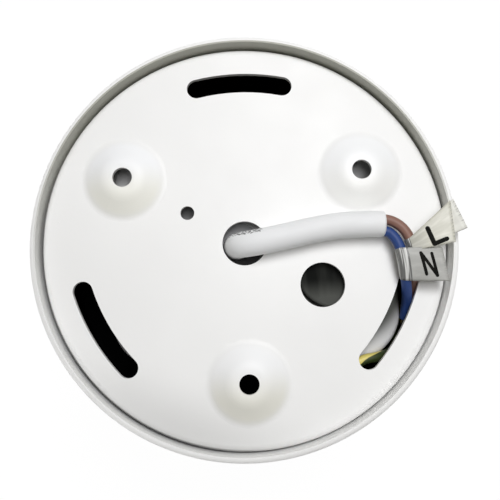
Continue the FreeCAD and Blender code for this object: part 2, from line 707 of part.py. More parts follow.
def snap_ring():
    """Open ring with two holed lugs, sprung into the bezel's groove."""
    piece = Piece("snap_ring")
    outer = bezel_seat_radius + s.snap_groove_depth - s.slide_gap
    low = bezel_top + s.snap_groove_rise + (s.snap_groove_width - s.snap_ring_thickness) / 2
    lug_y = leg(outer - s.snap_lug_radius, s.snap_lug_spread)
    lugs = [(-s.snap_lug_spread, lug_y), (s.snap_lug_spread, lug_y)]
    piece.pad(
        s.snap_ring_thickness, circles=[(0, 0, outer), (0, 0, outer - s.snap_ring_width)], shift=(0, 0, low)
    )
    piece.pad(s.snap_ring_thickness, circles=rings(lugs, s.snap_lug_radius), shift=(0, 0, low))
    piece.pad(s.snap_ring_thickness, circles=rings(lugs, s.snap_lug_hole_radius), shift=(0, 0, low), cut=True)
    piece.pad(
        s.snap_ring_thickness, box_outline(0, outer, s.snap_gap_half, s.snap_ring_width + s.snap_lug_radius),
        shift=(0, 0, low), cut=True,
    )


def swivel_ring():
    """Flanged ring that turns on the bezel's lip, with two round-topped lugs that carry the lamp head."""
    piece = Piece("swivel_ring")
    wall_radius = ring_bore + s.swivel_wall
    wall_top = ring_low + s.swivel_wall_height
    chamfer = s.mouth_chamfer
    piece.turn([
        (ring_bore + chamfer, ring_low), (ring_rim, ring_low), (ring_rim, ring_flange_top),
        (wall_radius, ring_flange_top), (wall_radius, wall_top), (ring_bore, wall_top),
        (ring_bore, ring_low + chamfer),
    ])
    half = s.lug_half_width
    lug = piece.pad(
        s.lug_thickness, [(-half, ring_flange_top), (half, ring_flange_top), (half, pivot),
                          (-half, pivot, (0, pivot), LEFT)],
        role="YZ_Plane", shift=(0, 0, lug_inner),
    )
    bore = piece.pad(s.housing_radius, circles=[(0, pivot, s.pivot_bore_radius)], role="YZ_Plane", cut=True)
    piece.repeat([lug, bore], 2)


def pivot_washers():
    """Nylon washers between the head's flats and the lugs."""
    piece = Piece("pivot_washers")
    face = head_flat + s.pivot_washer_thickness
    washer = piece.turn(
        [(head_flat, s.pivot_bore_radius), (face, s.pivot_bore_radius), (face, s.pivot_washer_radius),
         (head_flat, s.pivot_washer_radius)],
        shift=(0, pivot, 0), axis="H_Axis",
    )
    piece.repeat([washer], 2)


def pivot_screws():
    """Shoulder screws that the lamp head tilts on."""
    piece = Piece("pivot_screws")
    tip = head_flat - s.pivot_thread_length
    seat = lug_outer + s.slide_gap
    face = seat + s.pivot_head_height
    shoulder = s.pivot_bore_radius - s.turn_gap
    screw = piece.turn(
        [(tip, 0), (face, 0), (face, s.pivot_head_radius), (seat, s.pivot_head_radius), (seat, shoulder),
         (head_flat, shoulder), (head_flat, s.pivot_thread_radius), (tip, s.pivot_thread_radius)],
        shift=(0, pivot, 0), axis="H_Axis",
    )
    socket = piece.pad(
        s.screw_socket_depth, hexagon(0, pivot, s.screw_socket_width), role="YZ_Plane", shift=(0, 0, face),
        cut=True, back=True,
    )
    piece.repeat([screw, socket], 2)


def lamp_head():
    """Ball-shaped shell with flats at the pivots, a glass seat in front and a neck for the heat sink."""
    piece = Piece("lamp_head")
    rear, shelf = pivot + s.head_rear, pivot + s.head_shelf_rise
    front_radius, rear_radius = leg(head_radius, s.head_front), leg(head_radius, s.head_rear)
    shelf_bore = head_bore_radius - s.head_shelf_width
    piece.turn([
        (head_front_bore_radius, head_front), (front_radius, head_front),
        (rear_radius, rear, (0, pivot), LEFT), (head_neck_radius, rear), (head_neck_radius, sink_front),
        (shelf_bore, sink_front), (shelf_bore, shelf), (head_bore_radius, shelf),
        (head_bore_radius, head_seat), (head_front_bore_radius, head_seat),
    ])
    flat = piece.pad(
        s.overrun, circles=[(0, pivot, s.lug_half_width * 2)], role="YZ_Plane",
        shift=(0, 0, head_flat), cut=True,
    )
    thread = piece.pad(
        s.housing_radius, circles=[(0, pivot, s.pivot_thread_radius + s.turn_gap)], role="YZ_Plane", cut=True
    )
    piece.repeat([flat, thread], 2)
    hole = piece.pad(
        s.sink_screw_length - s.sink_base + s.screw_gap,
        circles=rings([SINK_SCREW], s.screw_radius + s.turn_gap),
        shift=(0, 0, sink_front), cut=True, back=True,
    )
    piece.repeat([hole], 3)


def front_ring():
    """Chamfered ring that holds the glass in the head."""
    piece = Piece("front_ring")
    outer, chamfer = head_front_bore_radius - s.slide_gap, s.front_ring_chamfer
    inner = outer - s.front_ring_width
    piece.turn([
        (inner + chamfer, head_front), (outer, head_front), (outer, glass_front), (inner, glass_front),
        (inner, head_front + chamfer),
    ])


def front_glass():
    """Round front glass."""
    piece = Piece("front_glass")
    radius = head_front_bore_radius - s.pocket_gap
    piece.pad(s.glass_thickness, circles=[(0, 0, radius)], shift=(0, 0, glass_front))


def glass_gasket():
    """Flat ring between the glass and its seat."""
    piece = Piece("glass_gasket")
    outer = head_front_bore_radius - s.pocket_gap
    piece.turn(band(outer - s.gasket_width, outer, glass_back, head_seat))


def reflector():
    """Deep bowl whose wall starts square to the glass and closes to a short neck round the emitter."""
    piece = Piece("reflector")
    wall, neck = s.reflector_wall, s.reflector_neck_radius
    rim, mouth = s.reflector_rim, reflector_mouth_radius
    rim_radius = head_bore_radius - s.reflector_gap
    waist = s.reflector_waist_radius
    centre = (waist, glass_back)
    outer_bend = reflector_bend + wall
    piece.turn([
        (mouth, glass_back, centre, RIGHT), (rim_radius, glass_back), (rim_radius, glass_back + rim),
        (waist + leg(outer_bend, rim), glass_back + rim),
        (neck + wall, glass_back + leg(outer_bend, waist - neck - wall), centre, LEFT),
        (neck + wall, holder_front), (neck, holder_front),
        (neck, glass_back + leg(reflector_bend, waist - neck)),
    ])


def led_board():
    """Square board of the light source."""
    piece = Piece("led_board")
    half = s.board_half_width
    piece.pad(s.led_board_thickness, box_outline(0, 0, half, half), shift=(0, 0, board_front))


def led_emitter():
    """Round light-giving surface on the board."""
    piece = Piece("led_emitter")
    piece.pad(s.emitter_height, circles=[(0, 0, s.emitter_radius)], shift=(0, 0, board_front), back=True)


def thermal_pad():
    """Soft pad between the board and the heat sink."""
    piece = Piece("thermal_pad")
    half = s.board_half_width
    piece.pad(s.pad_thickness, box_outline(0, 0, half, half), shift=(0, 0, board_back))


HOLDER_SCREWS = [(0, -s.holder_screw_reach), (0, s.holder_screw_reach)]


def led_holder():
    """Round holder that clamps the board, with sunk screw seats."""
    piece = Piece("led_holder")
    half = s.board_half_width + s.pocket_gap
    depth = sink_front - holder_front
    piece.pad(
        depth, circles=[(0, 0, s.holder_radius), (0, 0, s.holder_bore_radius)], shift=(0, 0, holder_front)
    )
    piece.pad(sink_front - board_front, box_outline(0, 0, half, half), shift=(0, 0, board_front), cut=True)
    piece.pad(
        s.screw_head_height, circles=rings(HOLDER_SCREWS, s.screw_head_radius + s.screw_gap),
        shift=(0, 0, holder_front), cut=True,
    )
    piece.pad(
        depth, circles=rings(HOLDER_SCREWS, s.screw_radius + s.screw_gap),
        shift=(0, 0, holder_front), cut=True,
    )


def heat_sink():
    """Base disc with a hollow core and radial fins whose outer corners slope."""
    piece = Piece("heat_sink")
    core, bore, slope = s.sink_core_radius, s.sink_bore_radius, s.sink_fin_slope
    reach = head_neck_radius - s.sink_fin_edge
    root = (core + bore) / 2
    piece.turn([
        (bore, sink_front), (head_neck_radius, sink_front), (head_neck_radius, sink_top), (core, sink_top),
        (core, fin_top), (bore, fin_top),
    ])
    fin = piece.pad(
        s.sink_fin_thickness,
        [
            (root, sink_top), (reach, sink_top), (reach, fin_top - slope), (reach - slope, fin_top),
            (root, fin_top),
        ],
        role="XZ_Plane", shift=(0, 0, -s.sink_fin_thickness / 2),
    )
    piece.repeat([fin], SINK_FINS)
    hole = piece.pad(
        s.sink_base, circles=rings([SINK_SCREW], s.screw_radius + s.screw_gap),
        shift=(0, 0, sink_front), cut=True,
    )
    piece.repeat([hole], 3)
    piece.pad(
        s.sink_base, circles=rings(HOLDER_SCREWS, s.screw_radius + s.turn_gap),
        shift=(0, 0, sink_front), cut=True,
    )


def heat_sink_screws():
    """Three screws that hold the heat sink on the head's neck."""
    places = []
    for turn in range(3):
        angle = BETWEEN_FINS + math.tau * turn / 3
        places.append((sink_screw_reach * math.cos(angle), sink_screw_reach * math.sin(angle)))
    small_screws("heat_sink_screws", places, sink_top, s.sink_screw_length, upward=True)


def lead_gland():
    """Collar where the lamp lead enters the heat sink's core."""
    piece = Piece("lead_gland")
    piece.turn(band(s.lead_radius + s.turn_gap, s.sink_gland_radius, fin_top, fin_top + s.sink_gland_height))


# Routes of the cable, the cores and the wires, and the flags' lie on their cores. Places are in
# millimetres, turns in degrees.
SUPPLY_CABLE_ROUTE = [
    (-2.1, -0.5, -11.5), (-2.1, -0.5, -3.5), (1.8, -0.5, 0.35), (9.6, 0.9, 0.35), (17.5, 2.5, 0.35),
    (25.0, 3.3, 0.35), (32.5, 3.0, 0.35),
]
LIVE_CORE_ROUTE = [
    (27.6, 4.5, 0.35), (32.7, 4.3, 0.4), (35.6, 2.9, 1.0), (37.5, 0.6, 1.3), (38.6, -2.6, 1.3),
    (39.1, -6.0, 0.9), (39.1, -9.0, -1.3), (39.0, -11.2, -4.6), (40.2, -13.0, -7.6), (40.6, -15.6, -10.4),
]
NEUTRAL_CORE_ROUTE = [
    (27.6, 1.9, 0.35), (32.7, 1.7, 0.4), (34.6, -0.1, 1.0), (35.7, -2.6, 1.3), (36.2, -5.6, 1.2),
    (36.8, -9.2, 0.2), (37.5, -12.2, -2.2), (38.1, -14.4, -5.0), (38.2, -16.7, -7.2), (38.1, -18.9, -8.6),
]
LIVE_STRANDS_ROUTE = [(40.6, -15.6, -10.4), (40.81, -16.95, -11.86), (40.6, -18.6, -13.2)]
NEUTRAL_STRANDS_ROUTE = [(38.1, -18.9, -8.6), (38.02, -20.59, -9.67), (37.0, -22.6, -11.0)]
LAMP_LEAD_ROUTE = [
    (0, 0, -33), (0, 0, -43.6), (0, 6.8, -46), (0, 6.8, -52), (0, 0, -54.4), (0, 0, -64),
]
EARTH_WIRE_ROUTE = [
    (22.25, -31.33, -5.8), (26.2, -28.24, -5.8), (30.8, -27.9, -6.6), (34.9, -27.1, -9.4),
    (38.0, -23.8, -15.3), (40.8, -18.2, -21.2), (42.6, -12.4, -26.8), (43.1, -8.6, -30.9),
    (43.0, -5.9, -32.2), (43.0, -3.7, -32.2),
]
LIVE_FLAG_SPOT, LIVE_FLAG_LIE = (37.2, -0.6, 3.2), (17, -8, 0)
NEUTRAL_FLAG_SPOT, NEUTRAL_FLAG_LIE = (37.6, -6.0, 2.6), (-8, 0, 0)
ARC_SHARE = 0.45


def tube(label, route, radius):
    """A round cord whose straight runs are joined by tangent arcs, as large as the runs allow."""
    spots = [FreeCAD.Vector(*place) for place in route]
    edges, start, bends, length = [], spots[0], [], 0
    for before, corner, after in zip(spots, spots[1:], spots[2:]):
        back, ahead = (before - corner), (after - corner)
        shorter = min(back.Length, ahead.Length)
        turn = math.pi - back.getAngle(ahead)
        tangent = shorter * ARC_SHARE
        bend = tangent / math.tan(turn / 2)
        first = corner + back.normalize() * tangent
        last = corner + ahead.normalize() * tangent
        inward = (back + ahead).normalize()
        centre = corner + inward * (bend / math.cos(turn / 2))
        edges.append(Part.LineSegment(start, first).toShape())
        edges.append(Part.Arc(first, centre - inward * bend, last).toShape())
        start = last
        bends.append(round(bend, 1))
    edges.append(Part.LineSegment(start, spots[-1]).toShape())
    path = Part.Wire(edges)
    section = Part.Wire(Part.makeCircle(radius.value, spots[0], spots[1] - spots[0]))
    shape = path.makePipeShell([section], True, False)
    expected = math.pi * radius.value ** 2 * path.Length
    print(f"{label}: length {path.Length:.1f}, radii {bends}, volume share {shape.Volume / expected:.4f}")
    return solid(label, shape)


def ring_terminal(centre, end, side):
    """A flat ring with a tongue and a short barrel that points to the wire's end, above or below the ring."""
    radius, thickness, barrel = s.terminal_radius.value, s.terminal_thickness.value, s.barrel_radius.value
    up = FreeCAD.Vector(0, 0, 1)
    ring = Part.makeCylinder(radius, thickness)
    tongue = Part.makeBox(radius + barrel, barrel * 2, thickness, FreeCAD.Vector(0, -barrel, 0))
    height = barrel if side > 0 else thickness - barrel
    sleeve_start = FreeCAD.Vector(radius, 0, height)
    sleeve = Part.makeCylinder(barrel, s.barrel_length.value, sleeve_start, FreeCAD.Vector(1, 0, 0))
    hole = Part.makeCylinder(s.stud_radius.value + s.turn_gap.value, thickness)
    shape = ring.fuse([tongue, sleeve]).removeSplitter().cut(hole)
    heading = math.degrees(math.atan2(end[1] - centre.y, end[0] - centre.x))
    shape.Placement = FreeCAD.Placement(centre, FreeCAD.Rotation(up, heading))
    return shape


def flag(label, root, tip, reach, spot, lie):
    """A flat tape flag on a core: narrow at the core, wider at its free end."""
    thickness = s.flag_thickness.value
    corners = [(0, -root / 2), (reach, -tip / 2), (reach, tip / 2), (0, root / 2)]
    outline = Part.makePolygon([FreeCAD.Vector(plain(x), plain(y), 0) for x, y in corners + corners[:1]])
    feature = solid(label, Part.Face(outline).extrude(FreeCAD.Vector(0, 0, thickness)))
    feature.Placement = FreeCAD.Placement(FreeCAD.Vector(*spot), FreeCAD.Rotation(*lie))


def wiring():
    """Supply cable, its two cores with bare ends and flags, the earth wire and the lamp lead."""
    tube("supply_cable", SUPPLY_CABLE_ROUTE, s.cable_radius)
    tube("live_core", LIVE_CORE_ROUTE, s.core_radius)
    tube("neutral_core", NEUTRAL_CORE_ROUTE, s.core_radius)
    tube("live_strands", LIVE_STRANDS_ROUTE, s.strand_radius)
    tube("neutral_strands", NEUTRAL_STRANDS_ROUTE, s.strand_radius)
    tube("lamp_lead", LAMP_LEAD_ROUTE, s.lead_radius)
    tube("earth_wire", EARTH_WIRE_ROUTE, s.earth_wire_radius)
    flag("live_flag", s.live_flag_root, s.live_flag_tip, s.live_flag_reach, LIVE_FLAG_SPOT, LIVE_FLAG_LIE)
    flag(
        "neutral_flag", s.neutral_flag_root, s.neutral_flag_tip, s.neutral_flag_reach,
        NEUTRAL_FLAG_SPOT, NEUTRAL_FLAG_LIE,
    )


def earth_terminals():
    """Ring terminals on the plate's stud and on the partition's post."""
    upper = FreeCAD.Vector(s.stud_x.value, stud_y.value, (plate_under - s.terminal_thickness).value)
    lower = FreeCAD.Vector(
        earth_post_x.value, s.earth_post_y.value, (partition_top + s.earth_post_height).value
    )
    shapes = [ring_terminal(upper, EARTH_WIRE_ROUTE[0], -1), ring_terminal(lower, EARTH_WIRE_ROUTE[-1], 1)]
    solid("earth_terminals", Part.makeCompound(shapes))


def build():
    """Make every sub-part, from the ceiling side down to the lamp."""
    housing_shell()
    mounting_plate()
    set_screws("plate_set_screws", s.side_screw_radius, s.side_screw_length, side_screw_level)
    driver_case()
    driver_lid()
    driver_board()
    driver_components()
    cable_gland()
    small_screws("driver_lid_screws", LID_SCREW_PLACES, lid_top, s.lid_screw_length, upward=True)
    small_screws("driver_screws", POST_PLACES, partition_under, s.driver_screw_length, upward=False)
    wiring()
    earth_terminals()
    earth_nut()
    machine_screws(
        "earth_screw", [(earth_post_x, s.earth_post_y)],
        partition_top + s.earth_post_height + s.terminal_thickness, s.earth_screw_length, True,
        s.earth_head_radius, s.earth_head_height, s.stud_radius,
    )
    lead_grommet()
    bezel()
    bezel_seal()
    set_screws("bezel_set_screws", s.bezel_screw_radius, s.bezel_screw_length, bezel_screw_level)
    spring_washer()
    snap_ring()
    swivel_ring()
    pivot_washers()
    pivot_screws()
    lamp_head()
    front_ring()
    front_glass()
    glass_gasket()
    reflector()
    led_emitter()
    led_board()
    led_holder()
    small_screws(
        "holder_screws", HOLDER_SCREWS, holder_front + s.screw_head_height, s.holder_screw_length,
        upward=False,
    )
    thermal_pad()
    heat_sink()
    heat_sink_screws()
    lead_gland()


def check():
    """Every object is up to date, every cut has cut and every sub-part is valid."""
    doc.recompute()
    for item in doc.Objects:
        if "Invalid" in item.State or "Error" in item.State:
            raise RuntimeError(f"{item.Name} failed: {item.State}")
        if item.TypeId in ("PartDesign::Pocket", "PartDesign::Groove"):
            if item.Shape.Volume >= item.BaseFeature.Shape.Volume:
                raise RuntimeError(f"{item.Name} cuts nothing")
    for piece in PIECES:
        if piece.Shape.isNull() or not piece.Shape.isValid() or not piece.Shape.Solids:
            raise RuntimeError(f"{piece.Label} has no valid shape")


def export():
    """Write each sub-part to its own file."""
    os.makedirs("parts", exist_ok=True)
    for piece in PIECES:
        piece.Shape.exportStep(f"parts/{piece.Label}.step")
        print(f"{piece.Label}: {len(piece.Shape.Solids)} solids, {piece.Shape.Volume:.1f} mm3")


build()
check()
export()
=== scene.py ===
import json
import logging
import math
from dataclasses import dataclass, field
from enum import Enum
from typing import ClassVar, Sequence

import bmesh
import bpy
from mathutils import Matrix, Vector
from mathutils.bvhtree import BVHTree

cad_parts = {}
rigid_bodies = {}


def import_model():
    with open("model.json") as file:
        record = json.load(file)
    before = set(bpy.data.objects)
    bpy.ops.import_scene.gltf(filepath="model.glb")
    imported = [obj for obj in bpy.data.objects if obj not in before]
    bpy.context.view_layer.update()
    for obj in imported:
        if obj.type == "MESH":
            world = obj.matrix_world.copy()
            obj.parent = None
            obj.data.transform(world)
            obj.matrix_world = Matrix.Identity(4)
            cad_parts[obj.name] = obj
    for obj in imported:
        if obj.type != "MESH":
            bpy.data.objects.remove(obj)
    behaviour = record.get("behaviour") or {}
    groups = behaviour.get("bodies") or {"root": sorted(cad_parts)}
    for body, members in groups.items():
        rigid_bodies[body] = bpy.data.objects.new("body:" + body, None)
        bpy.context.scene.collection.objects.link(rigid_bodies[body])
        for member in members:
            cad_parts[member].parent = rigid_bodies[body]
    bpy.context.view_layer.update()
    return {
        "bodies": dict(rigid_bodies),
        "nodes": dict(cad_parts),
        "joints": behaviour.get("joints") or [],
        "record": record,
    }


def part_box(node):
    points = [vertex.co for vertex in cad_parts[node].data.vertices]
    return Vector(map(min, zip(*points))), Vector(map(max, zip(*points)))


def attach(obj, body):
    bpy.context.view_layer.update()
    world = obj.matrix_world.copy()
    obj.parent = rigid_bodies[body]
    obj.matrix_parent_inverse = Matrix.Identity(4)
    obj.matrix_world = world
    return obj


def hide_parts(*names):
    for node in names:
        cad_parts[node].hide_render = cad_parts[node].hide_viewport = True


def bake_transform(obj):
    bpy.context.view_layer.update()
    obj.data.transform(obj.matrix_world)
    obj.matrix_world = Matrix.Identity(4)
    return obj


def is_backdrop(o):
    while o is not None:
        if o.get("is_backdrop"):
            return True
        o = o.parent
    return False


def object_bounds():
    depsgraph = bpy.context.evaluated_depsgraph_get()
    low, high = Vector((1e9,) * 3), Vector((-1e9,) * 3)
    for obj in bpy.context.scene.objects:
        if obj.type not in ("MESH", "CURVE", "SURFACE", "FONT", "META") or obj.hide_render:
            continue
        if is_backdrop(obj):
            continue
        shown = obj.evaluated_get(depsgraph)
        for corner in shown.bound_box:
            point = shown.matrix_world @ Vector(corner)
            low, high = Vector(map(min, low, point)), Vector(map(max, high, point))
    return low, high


LOG = logging.getLogger("ceiling_spotlight")
MM = 0.001

Colour = tuple[float, float, float]
Spot = tuple[float, float, float]
Flat = tuple[float, float]


class Body(Enum):
    """The bodies that pieces ride on."""

    HOUSING = "housing"
    SWIVEL = "swivel"
    LAMP = "lamp"


class Coordinates(Enum):
    """Where a finish reads its pattern."""

    OBJECT = "Object"
    SURFACE = "UV"


def in_metres(spot: Sequence[float]) -> Vector:
    """Turn a place in millimetres into metres."""
    return Vector(spot) * MM


class Tree:
    """A node tree with short calls that add, feed and join nodes."""

    def __init__(self, tree: bpy.types.NodeTree) -> None:
        """Keep the tree.

        Args:
            tree: the material's or modifier's own node tree.
        """
        self.tree = tree

    def add(
        self, kind: str, feeds: dict[str | int, object] | None = None, **settings: object,
    ) -> bpy.types.Node:
        """Add a node.

        Args:
            kind: the node's type name.
            feeds: input names or places with the numbers, sockets or sums that feed them.
            settings: the node's own properties.

        Returns:
            The new node.
        """
        node = self.tree.nodes.new(kind)
        for name, value in settings.items():
            setattr(node, name, value)
        for name, value in (feeds or {}).items():
            self.feed(node.inputs[name], value)
        return node

    def feed(self, socket: bpy.types.NodeSocket, value: object) -> None:
        """Feed an input.

        Args:
            socket: the input.
            value: a number, a colour, a socket or a sum.
        """
        if isinstance(value, Sum):
            self.tree.links.new(value.socket, socket)
        elif isinstance(value, bpy.types.NodeSocket):
            self.tree.links.new(value, socket)
        else:
            socket.default_value = value

    def mixed(self, share: object, first: object, second: object) -> bpy.types.NodeSocket:
        """Mix two colours.

        Args:
            share: how much of the second there is.
            first: a colour or a colour socket.
            second: a colour or a colour socket.

        Returns:
            The mixed colour.
        """
        node = self.add("ShaderNodeMix", data_type="RGBA")
        for index, value in ((0, share), (6, first), (7, second)):
            self.feed(node.inputs[index], (*value, 1.0) if isinstance(value, tuple) else value)
        return node.outputs[2]


class Sum:
    """A number in a node tree that can be added, multiplied and compared."""

    def __init__(self, tree: Tree, socket: bpy.types.NodeSocket) -> None:
        """Keep the socket that holds the number.

        Args:
            tree: the tree that the socket is in.
            socket: the output socket.
        """
        self.tree = tree
        self.socket = socket

    def work(self, operation: str, *others: object) -> "Sum":
        """Apply one maths node.

        Args:
            operation: the node's operation.
            others: the further numbers or sums that it takes.

        Returns:
            The result.
        """
        node = self.tree.add("ShaderNodeMath", operation=operation)
        for socket, value in zip(node.inputs, (self, *others)):
            self.tree.feed(socket, value)
        return Sum(self.tree, node.outputs[0])

    def __add__(self, other: object) -> "Sum":
        """Add."""
        return self.work("ADD", other)

    def __sub__(self, other: object) -> "Sum":
        """Take away."""
        return self.work("SUBTRACT", other)

    def __mul__(self, other: object) -> "Sum":
        """Multiply."""
        return self.work("MULTIPLY", other)

    def __truediv__(self, other: object) -> "Sum":
        """Divide."""
        return self.work("DIVIDE", other)

    def apart(self, other: object) -> "Sum":
        """How far it is from another number."""
        return (self - other).work("ABSOLUTE")

    def above(self, limit: float = 0.5, softness: float = 0.5) -> "Sum":
        """Turn the number into a soft step.

        Args:
            limit: the number at which the step is half done.
            softness: the width of the step.

        Returns:
            0 below the step and 1 above it.
        """
        feeds = {"Value": self, "From Min": limit - softness / 2, "From Max": limit + softness / 2}
        node = self.tree.add("ShaderNodeMapRange", feeds, interpolation_type="SMOOTHSTEP")
        return Sum(self.tree, node.outputs["Result"])


class Paint(Tree):
    """The node tree of one material, with its pattern's place and its shader."""

    def __init__(self, name: str, coordinates: Coordinates) -> None:
        """Make the material with a bare shader.

        Args:
            name: the material's name.
            coordinates: where its pattern is read.
        """
        self.material = bpy.data.materials.new(name)
        self.material.use_nodes = True
        super().__init__(self.material.node_tree)
        self.tree.nodes.clear()
        self.shader = self.add("ShaderNodeBsdfPrincipled")
        output = self.add("ShaderNodeOutputMaterial")
        self.feed(output.inputs["Surface"], self.shader.outputs["BSDF"])
        self.place = self.add("ShaderNodeTexCoord").outputs[coordinates.value]

    def fix(self, **values: float) -> None:
        """Set numbers of the shader that are the same all over.

        Args:
            values: input names, with a low line for each space, and their numbers.
        """
        for name, value in values.items():
            self.shader.inputs[name.replace("_", " ")].default_value = value

    def axes(self) -> tuple[Sum, Sum, Sum]:
        """Split the pattern's place into three numbers."""
        parts = self.add("ShaderNodeSeparateXYZ", {"Vector": self.place})
        return tuple(Sum(self, socket) for socket in parts.outputs)

    def reach(self, spot: Flat = (0.0, 0.0)) -> Sum:
        """Measure how far the pattern's place is from an upright line.

        Args:
            spot: where the line stands, in millimetres.

        Returns:
            The distance, in metres.
        """
        x, y, _ = self.axes()
        across, away = x - spot[0] * MM, y - spot[1] * MM
        return (across * across + away * away).work("SQRT")

    def disc(self, spot: Flat, radius: float, fade: float) -> Sum:
        """1 inside a disc seen from above and 0 outside it, all in millimetres."""
        return self.reach(spot).above(radius * MM, -fade * MM)

    def noise(self, size: float, detail: float = 2.0, place: bpy.types.NodeSocket | None = None) -> Sum:
        """Cloudy noise.

        Args:
            size: the width of one cloud, in metres.
            detail: how many finer layers it has.
            place: where it is read, instead of the pattern's place.

        Returns:
            The noise, from 0 to 1.
        """
        feeds = {"Vector": place or self.place, "Scale": 1 / size, "Detail": detail}
        return Sum(self, self.add("ShaderNodeTexNoise", feeds).outputs[0])

    def streaks(self, scale: Spot, detail: float = 2.0) -> Sum:
        """Noise that is drawn out, with a scale for each axis."""
        place = self.add("ShaderNodeMapping", {"Vector": self.place, "Scale": scale}).outputs["Vector"]
        return self.noise(1.0, detail, place)

    def cells(self, size: float, feature: str = "F1") -> Sum:
        """Distance to the nearest of scattered points, which lie about size apart."""
        node = self.add("ShaderNodeTexVoronoi", {"Vector": self.place, "Scale": 1 / size}, feature=feature)
        return Sum(self, node.outputs["Distance"])

    def spread(self, value: Sum, low: float, high: float) -> Sum:
        """Spread a number from 0 to 1 over low to high."""
        node = self.add("ShaderNodeMapRange", {"Value": value, "To Min": low, "To Max": high})
        return Sum(self, node.outputs["Result"])

    def raise_surface(self, height: Sum, depth: float) -> None:
        """Lift the surface where the height is large.

        Args:
            height: the pattern, from 0 to 1.
            depth: how far 1 stands above 0, in metres.
        """
        bump = self.add("ShaderNodeBump", {"Height": height, "Distance": depth, "Strength": 1.0})
        before = self.shader.inputs["Normal"].links
        if before:
            self.feed(bump.inputs["Normal"], before[0].from_socket)
        self.feed(self.shader.inputs["Normal"], bump.outputs["Normal"])

    def colour(self, value: object) -> None:
        """Colour the surface."""
        self.feed(self.shader.inputs["Base Color"], value)

    def cover(self, share: Sum, tone: object) -> None:
        """Lay a tone over the surface's colour, by a share from 0 to 1."""
        under = self.shader.inputs["Base Color"].links[0].from_socket
        self.colour(self.mixed(share, under, tone))


@dataclass(frozen=True)
class Finish:
    """A finish whose colour and gloss drift and whose surface has a fine grain. Sizes are in millimetres."""

    coordinates: ClassVar[Coordinates] = Coordinates.OBJECT
    drift_per_gloss: ClassVar[float] = 3.0

    name: str
    tone: Colour
    gloss_low: float = 0.35
    gloss_high: float = 0.5
    drift: float = 0.04
    drift_size: float = 14.0
    grain: float = 0.004
    grain_size: float = 0.35
    specular: float = 0.5

    def shade(self, share: float) -> Colour:
        """The tone, darker or lighter by a share."""
        return tuple(min(1.0, part * (1 + share)) for part in self.tone)

    def make(self) -> bpy.types.Material:
        """Build the material.

        Returns:
            The material.
        """
        paint = Paint(self.name, self.coordinates)
        self.spread_on(paint)
        return paint.material

    def tint_by(self, paint: Paint, pattern: Sum) -> None:
        """Let the tone drift with a pattern."""
        paint.colour(paint.mixed(pattern, self.shade(-self.drift), self.shade(self.drift)))

    def gloss_by(self, paint: Paint, pattern: Sum) -> None:
        """Let the gloss drift with a pattern."""
        gloss = paint.spread(pattern, self.gloss_low, self.gloss_high)
        paint.feed(paint.shader.inputs["Roughness"], gloss)

    def spread_on(self, paint: Paint) -> None:
        """Give the paint the drift and the grain that every finish has.

        Args:
            paint: the material's tree.
        """
        self.tint_by(paint, paint.noise(self.drift_size * MM).above())
        self.gloss_by(paint, paint.noise(self.drift_size * MM / self.drift_per_gloss))
        paint.raise_surface(paint.noise(self.grain_size * MM), self.grain * MM)
        paint.fix(Specular_IOR_Level=self.specular)


@dataclass(frozen=True)
class PowderCoat(Finish):
    """Sprayed and baked coat with orange peel and a few dust nibs."""

    nib_reach: ClassVar[float] = 0.035
    nib_fade: ClassVar[float] = 0.03

    peel: float = 0.012
    peel_size: float = 1.6
    nib_spacing: float = 5.0
    nib_height: float = 0.02

    def spread_on(self, paint: Paint) -> None:
        """Add the peel and the nibs to the plain finish.

        Args:
            paint: the material's tree.
        """
        super().spread_on(paint)
        paint.raise_surface(paint.noise(self.peel_size * MM, detail=1.0), self.peel * MM)
        nib = paint.cells(self.nib_spacing * MM).above(self.nib_reach, -self.nib_fade)
        paint.raise_surface(nib, self.nib_height * MM)


